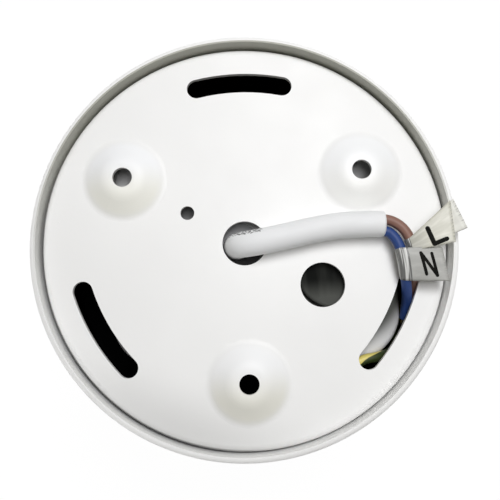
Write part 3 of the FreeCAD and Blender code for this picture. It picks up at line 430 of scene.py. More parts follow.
@dataclass(frozen=True)
class PressedCoat(PowderCoat):
    """Powder coat on a pressed plate, with painted shade towards one side and a painted shadow line along the
    edge there.

    On each dome the upper side has a painted highlight and the lower side a warmer painted shade. A dome has
    its turn round the plate in degrees, the tone of its upper side and the tone of its lower side.
    """

    # Painted shade: the plate darkens towards one side, which gets less light.
    side_shade_tone: Colour = (0.56, 0.56, 0.55)
    side_shade_way: Flat = (-0.342, -0.94)
    side_shade_from: float = 43.0
    side_shade_fade: float = 22.0
    # Painted shadow: a dark line along the plate's edge on that side, where the gap to the wall lies in
    # shade.
    edge_shadow_tone: Colour = (0.13, 0.13, 0.13)
    edge_radius: float = 47.5
    edge_soft: float = 0.5
    edge_way: Flat = (-0.819, -0.574)
    edge_from: float = 30.0
    edge_fade: float = 24.0
    # Painted light and shade: each dome's upper side is lighter and its lower side warmer and darker, as if
    # lit from above.
    dome_light_and_shade: tuple[tuple[float, Colour, Colour], ...] = (
        (30.0, (0.965, 0.975, 0.985), (0.965, 0.965, 0.94)),
        (150.0, (0.955, 0.965, 0.98), (0.9, 0.895, 0.82)),
        (270.0, (0.93, 0.935, 0.94), (0.83, 0.82, 0.74)),
    )
    dome_reach: float = 32.5
    dome_radius: float = 8.9
    dome_fade: float = 2.4
    dome_turn: float = 9.0
    dome_share: float = 0.9

    def towards(self, paint: Paint, way: Flat, limit: float, fade: float) -> Sum:
        """1 far out in a direction and 0 before it, in millimetres."""
        x, y, _ = paint.axes()
        return (x * way[0] + y * way[1]).above(limit * MM, fade * MM)

    def spread_on(self, paint: Paint) -> None:
        """Paint shade over one side, a shadow line along its edge there, and light and shade on the domes.

        Args:
            paint: the material's tree.
        """
        super().spread_on(paint)
        # Painted shadow line along the edge on one side, and painted shade over that side.
        rim = paint.reach().above(self.edge_radius * MM, self.edge_soft * MM)
        edge_shadow = rim * self.towards(paint, self.edge_way, self.edge_from, self.edge_fade)
        paint.cover(self.towards(paint, self.side_shade_way, self.side_shade_from, self.side_shade_fade), self.side_shade_tone)
        paint.cover(edge_shadow, self.edge_shadow_tone)
        _, y, _ = paint.axes()
        # Painted highlight on the upper side of each dome and painted shade on its lower side.
        for degrees, upper, lower in self.dome_light_and_shade:
            turn = math.radians(degrees)
            spot = (self.dome_reach * math.cos(turn), self.dome_reach * math.sin(turn))
            tone = paint.mixed(y.above(spot[1] * MM, -self.dome_turn * MM), upper, lower)
            paint.cover(paint.disc(spot, self.dome_radius, self.dome_fade) * self.dome_share, tone)


@dataclass(frozen=True)
class ShadedTubeCoat(PowderCoat):
    """Powder coat with painted shade on one side of the inner wall at a tube's mouth, and near-black painted
    shade with no reflection a little way inside it.
    """

    # Painted shade: near-black colour deep inside the tube, where little light reaches.
    deep_shade_tone: Colour = (0.005, 0.005, 0.005)
    inside_radius: float = 48.9
    inside_soft: float = 0.2
    deep_shade_depth: float = 12.0
    deep_shade_soft: float = 0.8
    deep_shade_play: float = 1.2
    deep_shade_play_size: float = 6.0
    # Painted shade on one side of the inner wall, which faces away from the light.
    wall_shade_tone: Colour = (0.43, 0.43, 0.38)
    wall_shade_above: float = 7.0
    wall_shade_fade: float = 54.0

    def spread_on(self, paint: Paint) -> None:
        """Paint shade on one side of the inner wall, and near-black shade with no reflection on what lies
        deep inside.

        Args:
            paint: the material's tree.
        """
        super().spread_on(paint)
        _, y, z = paint.axes()
        inside = paint.reach().above(self.inside_radius * MM, -self.inside_soft * MM)
        edge = paint.noise(self.deep_shade_play_size * MM) * (self.deep_shade_play * MM)
        deep = (z + edge).above(-self.deep_shade_depth * MM, -self.deep_shade_soft * MM)
        # Painted shade on one side of the wall, then near-black painted shade with its specular taken away
        # deep inside, behind a wavy line.
        paint.cover(inside * y.above(self.wall_shade_above * MM, self.wall_shade_fade * MM), self.wall_shade_tone)
        paint.cover(inside * deep, self.deep_shade_tone)
        paint.feed(paint.shader.inputs["Specular IOR Level"], inside * deep * -self.specular + self.specular)


@dataclass(frozen=True)
class ShadePaintedPlastic(Finish):
    """Moulded plastic with near-black painted shade on a disc, painted lighter below a line and in streaks,
    and a smaller patch of painted shade.
    """

    # Painted shade: the near-black disc stands for the shade behind a hole, and its lighter lower part and
    # streaks for the light that reaches in.
    painted_shade_tone: Colour = (0.004, 0.0045, 0.004)
    painted_light_tone: Colour = (0.085, 0.088, 0.08)
    painted_light_below: float = -11.6
    painted_light_fade: float = 6.0
    light_streak: float = 0.2
    streak_scale: Spot = (300.0, 40.0, 1.0)
    streak_soft: float = 0.3
    shade_spot: Flat = (21.9, -5.9)
    shade_radius: float = 19.3
    shade_fade: float = 5.0
    patch_shade_tone: Colour = (0.24, 0.24, 0.24)
    patch_spot: Flat = (-13.4, 8.6)
    patch_radius: float = 3.6
    patch_fade: float = 1.5

    def spread_on(self, paint: Paint) -> None:
        """Paint the shade on the disc and the patch, and the light below the line and in the streaks.

        Args:
            paint: the material's tree.
        """
        super().spread_on(paint)
        _, y, _ = paint.axes()
        # Painted light: lighter streaks and a lighter part below the line, laid on the disc's painted shade.
        streaks = paint.streaks(self.streak_scale).above(softness=self.streak_soft) * self.light_streak
        lighter_share = (y.above(self.painted_light_below * MM, -self.painted_light_fade * MM) + streaks).work("MINIMUM", 1.0)
        shade_with_light = paint.mixed(lighter_share, self.painted_shade_tone, self.painted_light_tone)
        # Painted shade: a darker patch and a near-black disc.
        paint.cover(paint.disc(self.patch_spot, self.patch_radius, self.patch_fade), self.patch_shade_tone)
        paint.cover(paint.disc(self.shade_spot, self.shade_radius, self.shade_fade), shade_with_light)


@dataclass(frozen=True)
class Metal(Finish):
    """Bare or plated metal with fine turning lines round the object's axis."""

    line_size: float = 0.12
    line_depth: float = 0.003
    shine: float = 1.0

    def spread_on(self, paint: Paint) -> None:
        """Add metal's own reflection and the turning lines.

        Args:
            paint: the material's tree.
        """
        super().spread_on(paint)
        paint.fix(Metallic=self.shine)
        _, _, z = paint.axes()
        place = paint.add("ShaderNodeCombineXYZ", {"X": paint.reach(), "Y": z}).outputs["Vector"]
        paint.raise_surface(paint.noise(self.line_size * MM, 1.0, place), self.line_depth * MM)


@dataclass(frozen=True)
class Sheath(Finish):
    """Extruded insulation, with faint flow lines along it and, on some, a strip of tiny marks.

    Its pattern is read along the cord from the first coordinate, in metres, and around it from the second,
    from 0 to 1.
    """

    coordinates: ClassVar[Coordinates] = Coordinates.SURFACE
    flow_scale: ClassVar[Spot] = (120.0, 9.0, 1.0)
    flow_soft: ClassVar[float] = 0.6
    skin_scale: ClassVar[Spot] = (900.0, 60.0, 1.0)
    mark_scale: ClassVar[Spot] = (1900.0, 45.0, 1.0)
    mark_soft: ClassVar[float] = 0.04
    mark_share: ClassVar[float] = 0.85

    marks: bool = False
    mark_reach: float = 16.0
    mark_fade: float = 1.0
    mark_turn: float = 0.065
    mark_half_width: float = 0.08
    mark_side_fade: float = 0.01
    mark_tone: Colour = (0.03, 0.03, 0.03)

    def spread_on(self, paint: Paint) -> None:
        """Draw the flow lines, and the marks where the sheath has them.

        Args:
            paint: the material's tree.
        """
        flow = paint.streaks(self.flow_scale)
        self.tint_by(paint, flow.above(softness=self.flow_soft))
        self.gloss_by(paint, flow)
        paint.raise_surface(paint.streaks(self.skin_scale, detail=1.0), self.grain * MM)
        paint.fix(Specular_IOR_Level=self.specular)
        if self.marks:
            along, around, _ = paint.axes()
            specks = paint.streaks(self.mark_scale, detail=3.0).above(softness=self.mark_soft)
            strip = around.apart(self.mark_turn).above(self.mark_half_width, -self.mark_side_fade)
            strip = strip * along.above(self.mark_reach * MM, -self.mark_fade * MM)
            paint.cover(specks * strip * self.mark_share, self.mark_tone)


@dataclass(frozen=True)
class StripedSheath(Sheath):
    """Insulation of two colours that wind slowly round it."""

    stripe_tone: Colour = (0.03, 0.045, 0.012)
    stripe_share: float = 0.72
    stripe_soft: float = 0.03
    turns_per_metre: float = 45.0
    start_turn: float = 0.37

    def spread_on(self, paint: Paint) -> None:
        """Wind the second colour round the first.

        Args:
            paint: the material's tree.
        """
        super().spread_on(paint)
        along, around, _ = paint.axes()
        turn = (around + along * self.turns_per_metre + self.start_turn).work("FRACT")
        paint.cover(turn.apart(0.5).above(0.5 - self.stripe_share / 2, self.stripe_soft), self.stripe_tone)


@dataclass(frozen=True)
class Tape(Finish):
    """Folded adhesive tape, cloudy where its two layers don't quite touch, with dust on its sticky edges and
    painted shade near the fold.

    Its pattern is read across the fold from the first coordinate and along it from the second, both from
    0 to 1.
    """

    coordinates: ClassVar[Coordinates] = Coordinates.SURFACE
    cloud_size: ClassVar[float] = 0.25
    cloud_from: ClassVar[float] = 0.55
    cloud_soft: ClassVar[float] = 0.3
    single_soft: ClassVar[float] = 0.04
    single_share: ClassVar[float] = 0.45
    fold_reach: ClassVar[float] = 0.09
    fold_soft: ClassVar[float] = 0.12
    side_reach: ClassVar[float] = 0.478
    end_reach: ClassVar[float] = 0.488
    edge_soft: ClassVar[float] = 0.03
    speck_size: ClassVar[float] = 0.05
    speck_from: ClassVar[float] = 0.53
    speck_soft: ClassVar[float] = 0.12
    crease_size: ClassVar[float] = 0.03

    cloud_and_highlight_tone: Colour = (0.9, 0.9, 0.86)
    dust_and_shade_tone: Colour = (0.12, 0.12, 0.11)
    dust: float = 0.5
    root_shade: float = 0.0
    fold: float = 1 / 3
    single_from: float = 2.0
    single_tone: Colour = (0.95, 0.95, 0.92)

    def spread_on(self, paint: Paint) -> None:
        """Cloud the tape, lighten its single layer, dust its edges and paint shade near the fold.

        Args:
            paint: the material's tree.
        """
        across, along, _ = paint.axes()
        clouds = paint.noise(self.cloud_size, detail=4.0)
        cloudy = clouds.above(self.cloud_from, self.cloud_soft)
        paint.colour(paint.mixed(cloudy, self.shade(-self.drift), self.cloud_and_highlight_tone))
        paint.cover(across.above(self.single_from, self.single_soft) * self.single_share, self.single_tone)
        # Painted shade: darker near the fold, at the tape's root on the core. It takes the dust's tone.
        near = across.apart(self.fold).above(self.fold_reach, -self.fold_soft) * self.root_shade
        sides = along.apart(0.5).above(self.side_reach, self.edge_soft)
        ends = across.apart(0.5).above(self.end_reach, self.edge_soft)
        specks = paint.noise(self.speck_size, detail=3.0).above(self.speck_from, self.speck_soft)
        dusty = sides.work("MAXIMUM", ends) * specks * self.dust
        paint.cover(dusty.work("MAXIMUM", near), self.dust_and_shade_tone)
        self.gloss_by(paint, clouds)
        paint.raise_surface(paint.noise(self.crease_size, detail=3.0), self.grain * MM)
        paint.fix(Specular_IOR_Level=self.specular)


@dataclass(frozen=True)
class ClearWrap(Tape):
    """Clear tape stretched round a core, with bright and dark streaks along the core: wrinkles in the tape
    with painted highlights on them.
    """

    streak_scale: ClassVar[Spot] = (38.0, 0.6, 1.0)
    streak_from: ClassVar[float] = 0.53
    streak_soft: ClassVar[float] = 0.16
    bending: ClassVar[float] = 1.48

    def spread_on(self, paint: Paint) -> None:
        """Streak the tape with painted highlights along its wrinkles.

        Args:
            paint: the material's tree.
        """
        # Painted highlight: bright streaks in the colour, on the wrinkles that the bump raises.
        streaks = paint.streaks(self.streak_scale, detail=1.0).above(self.streak_from, self.streak_soft)
        paint.colour(paint.mixed(streaks, self.tone, self.cloud_and_highlight_tone))
        self.gloss_by(paint, streaks)
        paint.raise_surface(streaks, self.grain * MM)
        paint.fix(Specular_IOR_Level=self.specular, IOR=self.bending)


@dataclass(frozen=True)
class Glass(Finish):
    """Clear glass with a faint tint and hardly visible wipe marks."""

    bending: ClassVar[float] = 1.5

    def spread_on(self, paint: Paint) -> None:
        """Let light through the plain finish."""
        super().spread_on(paint)
        paint.fix(Transmission_Weight=1.0, IOR=self.bending)


@dataclass(frozen=True)
class Phosphor(Finish):
    """Yellow light-giving surface over rows of chips, in a raised pale ring."""

    ring_tone: Colour = (0.86, 0.85, 0.8)
    ring_reach: float = 5.7
    ring_soft: float = 0.3
    ring_height: float = 0.2
    chip_pitch: float = 1.1
    chip_shade: float = -0.4
    chip_share: float = 0.35

    def spread_on(self, paint: Paint) -> None:
        """Add the chips' rows and the ring.

        Args:
            paint: the material's tree.
        """
        super().spread_on(paint)
        x, y, _ = paint.axes()
        rows = [(axis / (self.chip_pitch * MM)).work("FRACT").above() for axis in (x, y)]
        ring = paint.reach().above(self.ring_reach * MM, self.ring_soft * MM)
        paint.cover(rows[0] * rows[1] * self.chip_share, self.shade(self.chip_shade))
        paint.cover(ring, self.ring_tone)
        paint.raise_surface(ring, self.ring_height * MM)


@dataclass(frozen=True)
class CircuitBoard(Finish):
    """Solder mask over copper tracks, with bare tinned pads."""

    pad_tone: Colour = (0.72, 0.7, 0.62)
    pad_reach: float = 0.16
    pad_soft: float = 0.02
    pads_apart: float = 2.0
    track_pitch: float = 2.4
    track_reach: float = 0.12
    track_soft: float = 0.06
    track_shade: float = 0.6
    track_share: float = 0.5
    track_height: float = 0.03

    def spread_on(self, paint: Paint) -> None:
        """Add tracks and pads to the plain finish.

        Args:
            paint: the material's tree.
        """
        super().spread_on(paint)
        pitch = self.track_pitch * MM
        track = paint.cells(pitch, "DISTANCE_TO_EDGE").above(self.track_reach, -self.track_soft)
        pads = paint.cells(pitch * self.pads_apart).above(self.pad_reach, -self.pad_soft)
        paint.cover(track * self.track_share, self.shade(self.track_shade))
        paint.cover(pads, self.pad_tone)
        paint.raise_surface(track, self.track_height * MM)


FINISHES: dict[str, Finish] = {finish.name: finish for finish in (
    # Painted shade on one side of the inner wall and near-black painted shade deep inside the tube.
    ShadedTubeCoat("housing_coat", (0.94, 0.94, 0.93), 0.46, 0.6, 0.012, 30.0, specular=0.35),
    # Painted shade on the lid where it is seen through the plate's holes, with painted light below a line.
    ShadePaintedPlastic("lid_plastic", (0.68, 0.68, 0.68), 0.45, 0.6, 0.03, 10.0, 0.01, 0.25, 0.03),
    # Painted shadow: the gland is near-black on its lower part, below the supply cable.
    ShadePaintedPlastic(
        "gland_rubber", (0.22, 0.22, 0.225), 0.55, 0.75, 0.08, 6.0, 0.01, 0.2, 0.3,
        painted_shade_tone=(0.025, 0.025, 0.025), painted_light_tone=(0.025, 0.025, 0.025),
        shade_spot=(0.0, -10.0), shade_radius=9.0, shade_fade=2.0, patch_shade_tone=(0.22, 0.22, 0.225),
    ),
    PowderCoat("white_coat", (0.9, 0.9, 0.89), 0.3, 0.42, 0.012, 30.0),
    # Painted shade and a painted shadow line towards one side of the plate, and painted light and shade on
    # its domes.
    PressedCoat("plate_coat", (0.9, 0.9, 0.89), 0.4, 0.55, 0.015, 26.0),
    PowderCoat("black_coat", (0.028, 0.028, 0.028), 0.45, 0.6, 0.1, 10.0, 0.012, 0.3),
    Metal("black_steel", (0.05, 0.05, 0.055), 0.3, 0.45, 0.1, 3.0),
    Metal("zinc_steel", (0.62, 0.63, 0.66), 0.22, 0.4, 0.06, 4.0),
    Metal("spring_steel", (0.4, 0.4, 0.42), 0.28, 0.42, 0.08, 6.0),
    Finish("driver_plastic", (0.5, 0.5, 0.5), 0.35, 0.5, 0.03, 10.0, 0.01, 0.25),
    CircuitBoard("circuit_board", (0.04, 0.24, 0.1), 0.3, 0.4, 0.06, 8.0),
    Finish("component_plastic", (0.1, 0.1, 0.11), 0.4, 0.6, 0.2, 5.0),
    Finish("grey_rubber", (0.22, 0.22, 0.225), 0.55, 0.75, 0.08, 6.0, 0.01, 0.2),
    Finish("seal_rubber", (0.06, 0.06, 0.06), 0.55, 0.75, 0.1, 6.0, 0.01, 0.2),
    Finish("pad_rubber", (0.5, 0.52, 0.57), 0.6, 0.8, 0.05, 4.0, 0.01, 0.3),
    Sheath("cable_sheath", (0.85, 0.858, 0.865), 0.5, 0.65, 0.015, specular=0.3, marks=True),
    Sheath("brown_insulation", (0.23, 0.12, 0.09), 0.4, 0.55, 0.12, specular=0.35),
    Sheath("blue_insulation", (0.018, 0.05, 0.19), 0.4, 0.55, 0.12, specular=0.3),
    StripedSheath("earth_insulation", (0.72, 0.62, 0.18), 0.35, 0.45, 0.08, specular=0.35),
    Metal("strand_metal", (0.2, 0.19, 0.175), 0.3, 0.45, 0.2, 1.0),
    Metal("tinned_copper", (0.66, 0.66, 0.64), 0.25, 0.42, 0.08, 3.0),
    Tape(
        "clear_tape", (0.66, 0.65, 0.56), 0.3, 0.5, 0.1, grain=0.02, specular=0.4,
        cloud_and_highlight_tone=(0.8, 0.79, 0.71), root_shade=0.3, single_from=0.92,
    ),
    Tape(
        "grey_tape", (0.48, 0.48, 0.455), 0.3, 0.5, 0.1, grain=0.02, specular=0.3,
        cloud_and_highlight_tone=(0.54, 0.54, 0.515), dust=0.3,
    ),
    Sheath("lead_sheath", (0.68, 0.68, 0.67), 0.45, 0.6, 0.04),
    Finish("nylon", (0.78, 0.78, 0.74), 0.35, 0.5, 0.03, 5.0),
    Glass("clear_glass", (0.96, 0.985, 0.975), 0.0, 0.03, 0.01, 20.0, 0.0005, 2.0),
    Metal("bright_reflector", (0.86, 0.87, 0.88), 0.08, 0.14, 0.02, 8.0, 0.001, 0.3),
    Phosphor("phosphor", (0.85, 0.6, 0.1), 0.35, 0.5, 0.05, 2.0),
    CircuitBoard("white_board", (0.82, 0.82, 0.8), 0.3, 0.4, 0.03, 6.0),
    Metal("black_anodised", (0.04, 0.04, 0.045), 0.4, 0.55, 0.1, 8.0, shine=0.6),
)}
LETTER_INK = Finish("letter_ink", (0.006, 0.006, 0.005), 0.7, 0.85, 0.3, 1.0, specular=0.08)
WRAP_TAPE = ClearWrap(
    "wrap_tape", (0.15, 0.15, 0.145), 0.12, 0.3, grain=0.03, cloud_and_highlight_tone=(0.72, 0.72, 0.7), specular=0.4,
)


class Wardrobe:
    """Makes each finish once and puts it on pieces."""

    def __init__(self) -> None:
        """Start with no materials made and nothing dressed."""
        self.made: dict[str, bpy.types.Material] = {}
        self.dressed: list[bpy.types.Object] = []

    def material(self, finish: Finish) -> bpy.types.Material:
        """Give a finish's material, made at its first use.

        Args:
            finish: the finish.

        Returns:
            The material.
        """
        if finish.name not in self.made:
            self.made[finish.name] = finish.make()
        return self.made[finish.name]

    def dress(self, piece: bpy.types.Object, slot: str, finish: Finish | None = None) -> None:
        """Put a finish on a piece.

        Args:
            piece: the object.
            slot: the record's slot that it takes its finish from.
            finish: a finish of its own, instead of the slot's.
        """
        piece.data.materials.clear()
        piece.data.materials.append(self.material(finish or FINISHES[slot]))
        self.dressed.append(piece)


def new_piece(name: str, mesh: bpy.types.ID) -> bpy.types.Object:
    """Put a mesh or a curve into the scene as a piece at the origin.

    Args:
        name: the piece's name.
        mesh: the mesh or curve.

    Returns:
        The piece.
    """
    piece = bpy.data.objects.new(name, mesh)
    bpy.context.scene.collection.objects.link(piece)
    return piece


def evaluated_mesh(piece: bpy.types.Object) -> bpy.types.Mesh:
    """The mesh that a piece shows, as a plain mesh of its own."""
    graph = bpy.context.evaluated_depsgraph_get()
    return bpy.data.meshes.new_from_object(piece.evaluated_get(graph), depsgraph=graph)


def settled(work: bmesh.types.BMesh, name: str) -> bpy.types.Mesh:
    """Turn a mesh under work into a plain mesh.

    Args:
        work: the mesh under work. It is freed.
        name: the plain mesh's name.

    Returns:
        The plain mesh.
    """
    mesh = bpy.data.meshes.new(name)
    work.to_mesh(mesh)
    work.free()
    return mesh


def smooth(mesh: bpy.types.Mesh, crease_degrees: float = 40.0) -> None:
    """Shade a mesh smooth, with sharp edges where it turns by more than the crease."""
    mesh.shade_smooth()
    mesh.set_sharp_from_angle(angle=math.radians(crease_degrees))


def route_line(route: Sequence[Spot], steps: int = 16) -> list[Vector]:
    """Follow a route with a smooth spline.

    Args:
        route: the spline's control points, in millimetres.
        steps: how many points it gives for each control point.

    Returns:
        Points along the spline, in metres.
    """
    curve = bpy.data.curves.new("route", "CURVE")
    curve.dimensions = "3D"
    curve.resolution_u = steps
    spline = curve.splines.new("NURBS")
    spline.points.add(len(route) - 1)
    for point, spot in zip(spline.points, route):
        point.co = (*in_metres(spot), 1.0)
    spline.order_u = 3
    spline.use_endpoint_u = True
    carrier = new_piece("route", curve)
    mesh = evaluated_mesh(carrier)
    line = [vertex.co.copy() for vertex in mesh.vertices]
    bpy.data.objects.remove(carrier)
    bpy.data.curves.remove(curve)
    bpy.data.meshes.remove(mesh)
    return line


def line_length(line: Sequence[Vector]) -> float:
    """Length of a line of points."""
    return sum((after - before).length for before, after in zip(line, line[1:]))


def frames_along(line: Sequence[Vector]) -> list[tuple[Vector, Vector, Vector]]:
    """Directions across a line that turn as little as possible.

    Args:
        line: the points.

    Returns:
        For each point its tangent and two directions across it.
    """
    frames = []
    nearly_along = 0.99
    side = Vector((0.0, 0.0, 1.0))
    for index, point in enumerate(line):
        before, after = line[max(index - 1, 0)], line[min(index + 1, len(line) - 1)]
        tangent = (after - before).normalized()
        if abs(side.dot(tangent)) > nearly_along:
            side = Vector((0.0, 1.0, 0.0))
        side = (side - tangent * side.dot(tangent)).normalized()
        frames.append((tangent, side, tangent.cross(side)))
    return frames


@dataclass
class Tube:
    """A round skin along a line, with its ends closed and slightly rounded."""

    name: str
    line: list[Vector]
    radius: float
    sides: int = 28
    end_round: float = 0.12

    def rings(self) -> list[tuple[Vector, Vector, Vector, float, float]]:
        """Find the rings.

        Returns:
            Every ring's centre, two directions, radius and distance along the line.
        """
        frames = frames_along(self.line)
        edge = self.radius * self.end_round
        found, travelled = [], 0.0
        last = len(self.line) - 1
        for index, (point, (tangent, side, across)) in enumerate(zip(self.line, frames)):
            if index:
                travelled += (point - self.line[index - 1]).length
            if index == 0:
                found.append((point, side, across, self.radius - edge, travelled))
                found.append((point + tangent * edge, side, across, self.radius, travelled + edge))
            elif index == last:
                found.append((point - tangent * edge, side, across, self.radius, travelled - edge))
                found.append((point, side, across, self.radius - edge, travelled))
            else:
                found.append((point, side, across, self.radius, travelled))
        return found

    def make(self) -> bpy.types.Object:
        """Build the tube with surface coordinates: metres along and a share of a turn around.

        Returns:
            The piece.
        """
        work = bmesh.new()
        surface = work.loops.layers.uv.new("UVMap")
        rings, rows = self.rings(), []
        turns = [math.tau * index / self.sides for index in range(self.sides)]
        for centre, side, across, radius, _ in rings:
            spots = [centre + (side * math.cos(turn) + across * math.sin(turn)) * radius for turn in turns]
            rows.append([work.verts.new(spot) for spot in spots])
        for (*_, low), (*_, high), first, second in zip(rings, rings[1:], rows, rows[1:]):
            for index in range(self.sides):
                following = (index + 1) % self.sides
                face = work.faces.new((first[index], first[following], second[following], second[index]))
                here, there = index / self.sides, (index + 1) / self.sides
                for loop, spot in zip(face.loops, ((low, here), (low, there), (high, there), (high, here))):
                    loop[surface].uv = spot
        work.faces.new(list(reversed(rows[0])))
        work.faces.new(rows[-1])
        mesh = settled(work, self.name)
        smooth(mesh)
        return new_piece(self.name, mesh)


@dataclass
class Cord:
    """A free cord with its route from the construction and the facts of the real one.

    Sizes are in millimetres.
    """

    name: str
    node: str
    slot: str
    route: list[Spot]
    radius: float
    length: float
    far_end: str
    stiffness: str
    line: list[Vector] = field(default_factory=list, init=False)

    def build(self, wardrobe: Wardrobe) -> bpy.types.Object:
        """Build and dress the cord's skin.

        Args:
            wardrobe: what dresses it.

        Returns:
            The skin.
        """
        self.line = route_line(self.route)
        piece = Tube(self.name, self.line, self.radius * MM).make()
        wardrobe.dress(piece, self.slot)
        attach(piece, Body.HOUSING.value)
        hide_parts(self.node)
        found = line_length(self.line) / MM
        LOG.info("%s: %.1f mm of line for %.1f mm of cord", self.name, found, self.length)
        return piece

    def declare(self, piece: bpy.types.Object, with_pieces: Sequence[bpy.types.Object] = ()) -> None:
        """Work out the cord's width, which is not kept.

        Args:
            piece: the cord's skin, not used.
            with_pieces: the pieces that sit on it, not used.
        """
        self.radius * 2 * MM


def sized_tree(name: str, sizes: dict[str, float]) -> tuple[Tree, bpy.types.NodeOutputs]:
    """Start a node tree that takes a mesh, named sizes and a finish.

    Args:
        name: the tree's name.
        sizes: the sizes by their inputs' names, lengths in metres.

    Returns:
        The tree and what its inputs give.
    """
    group = bpy.data.node_groups.new(name, "GeometryNodeTree")
    face = group.interface
    face.new_socket("Geometry", in_out="INPUT", socket_type="NodeSocketGeometry")
    for label, value in sizes.items():
        face.new_socket(label, in_out="INPUT", socket_type="NodeSocketFloat").default_value = value
    face.new_socket("Finish", in_out="INPUT", socket_type="NodeSocketMaterial")
    face.new_socket("Geometry", in_out="OUTPUT", socket_type="NodeSocketGeometry")
    tree = Tree(group)
    return tree, tree.add("NodeGroupInput").outputs


def ended_tree(tree: Tree, shape: bpy.types.NodeSocket, finish: bpy.types.NodeSocket) -> bpy.types.NodeTree:
    """End a node tree with real geometry in its finish.

    Args:
        tree: the tree.
        shape: what it makes.
        finish: the material that its input gives.

    Returns:
        The whole tree.
    """
    real = tree.add("GeometryNodeRealizeInstances", {"Geometry": shape}).outputs["Geometry"]
    dressed = tree.add("GeometryNodeSetMaterial", {"Geometry": real, "Material": finish}).outputs["Geometry"]
    tree.feed(tree.add("NodeGroupOutput").inputs[0], dressed)
    return tree.tree


def apply_tree(
    carrier: bpy.types.Object, tree: bpy.types.NodeTree, name: str, values: dict[str, object],
) -> bpy.types.Object:
    """Run a node tree on a carrier and keep the result as a plain mesh.

    Args:
        carrier: the object that holds the tree's starting mesh. It is removed.
        tree: the node tree.
        name: the new piece's name.
        values: the tree's inputs by name.

    Returns:
        The piece.
    """
    modifier = carrier.modifiers.new("tree", "NODES")
    modifier.node_group = tree
    for item in tree.interface.items_tree:
        if item.item_type == "SOCKET" and item.in_out == "INPUT" and item.name in values:
            modifier[item.identifier] = values[item.name]
    bpy.context.view_layer.update()
    mesh = evaluated_mesh(carrier)
    mesh.name = name
    bpy.data.objects.remove(carrier)
    return new_piece(name, mesh)


@dataclass
class StrandBundle:
    """Bare wires twisted round one of them. Sizes are in millimetres."""

    name: str
    node: str
    route: list[Spot]
    wires: int = 7
    wire_sides: int = 8
    wire_radius: float = 0.13
    lay_radius: float = 0.3
    twist_turns: float = 0.6

    def tree(self) -> bpy.types.NodeTree:
        """Make the node tree that sweeps a ring of small circles along a line and twists it.

        Returns:
            The tree.
        """
        tree, given = sized_tree(f"{self.name}_twist", {
            "Wire Radius": self.wire_radius * MM, "Lay Radius": self.lay_radius * MM,
            "Turns": self.twist_turns,
        })
        line = tree.add("GeometryNodeMeshToCurve", {"Mesh": given["Geometry"]}).outputs["Curve"]
        share = Sum(tree, tree.add("GeometryNodeSplineParameter").outputs["Factor"])
        tilt = share * given["Turns"] * math.tau
        line = tree.add("GeometryNodeSetCurveTilt", {"Curve": line, "Tilt": tilt}).outputs["Curve"]
        rounds = (
            {"Resolution": self.wires - 1, "Radius": given["Lay Radius"]},
            {"Resolution": self.wire_sides, "Radius": given["Wire Radius"]},
        )
        lay, wire = (
            tree.add("GeometryNodeCurvePrimitiveCircle", feeds, mode="RADIUS").outputs["Curve"]
            for feeds in rounds
        )
        feeds = {"Points": lay, "Instance": wire}
        ring = tree.add("GeometryNodeInstanceOnPoints", feeds).outputs["Instances"]
        whole = tree.add("GeometryNodeJoinGeometry")
        tree.feed(whole.inputs[0], ring)
        tree.feed(whole.inputs[0], wire)
        profile = tree.add("GeometryNodeRealizeInstances", {"Geometry": whole.outputs[0]}).outputs["Geometry"]
        feeds = {"Curve": line, "Profile Curve": profile, "Fill Caps": True}
        swept = tree.add("GeometryNodeCurveToMesh", feeds).outputs["Mesh"]
        return ended_tree(tree, swept, given["Finish"])

    def build(self, wardrobe: Wardrobe) -> bpy.types.Object:
        """Build and dress the strands.

        Args:
            wardrobe: what dresses them.

        Returns:
            The strands as one piece.
        """
        line = route_line(self.route)
        mesh = bpy.data.meshes.new(f"{self.name}_line")
        steps = [(index, index + 1) for index in range(len(line) - 1)]
        mesh.from_pydata([tuple(point) for point in line], steps, [])
        carrier = new_piece(f"{self.name}_line", mesh)
        finish = wardrobe.material(FINISHES["strand_metal"])
        piece = apply_tree(carrier, self.tree(), self.name, {"Finish": finish})
        smooth(piece.data)
        wardrobe.dress(piece, "strand_metal")
        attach(piece, Body.HOUSING.value)
        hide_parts(self.node)
        return piece


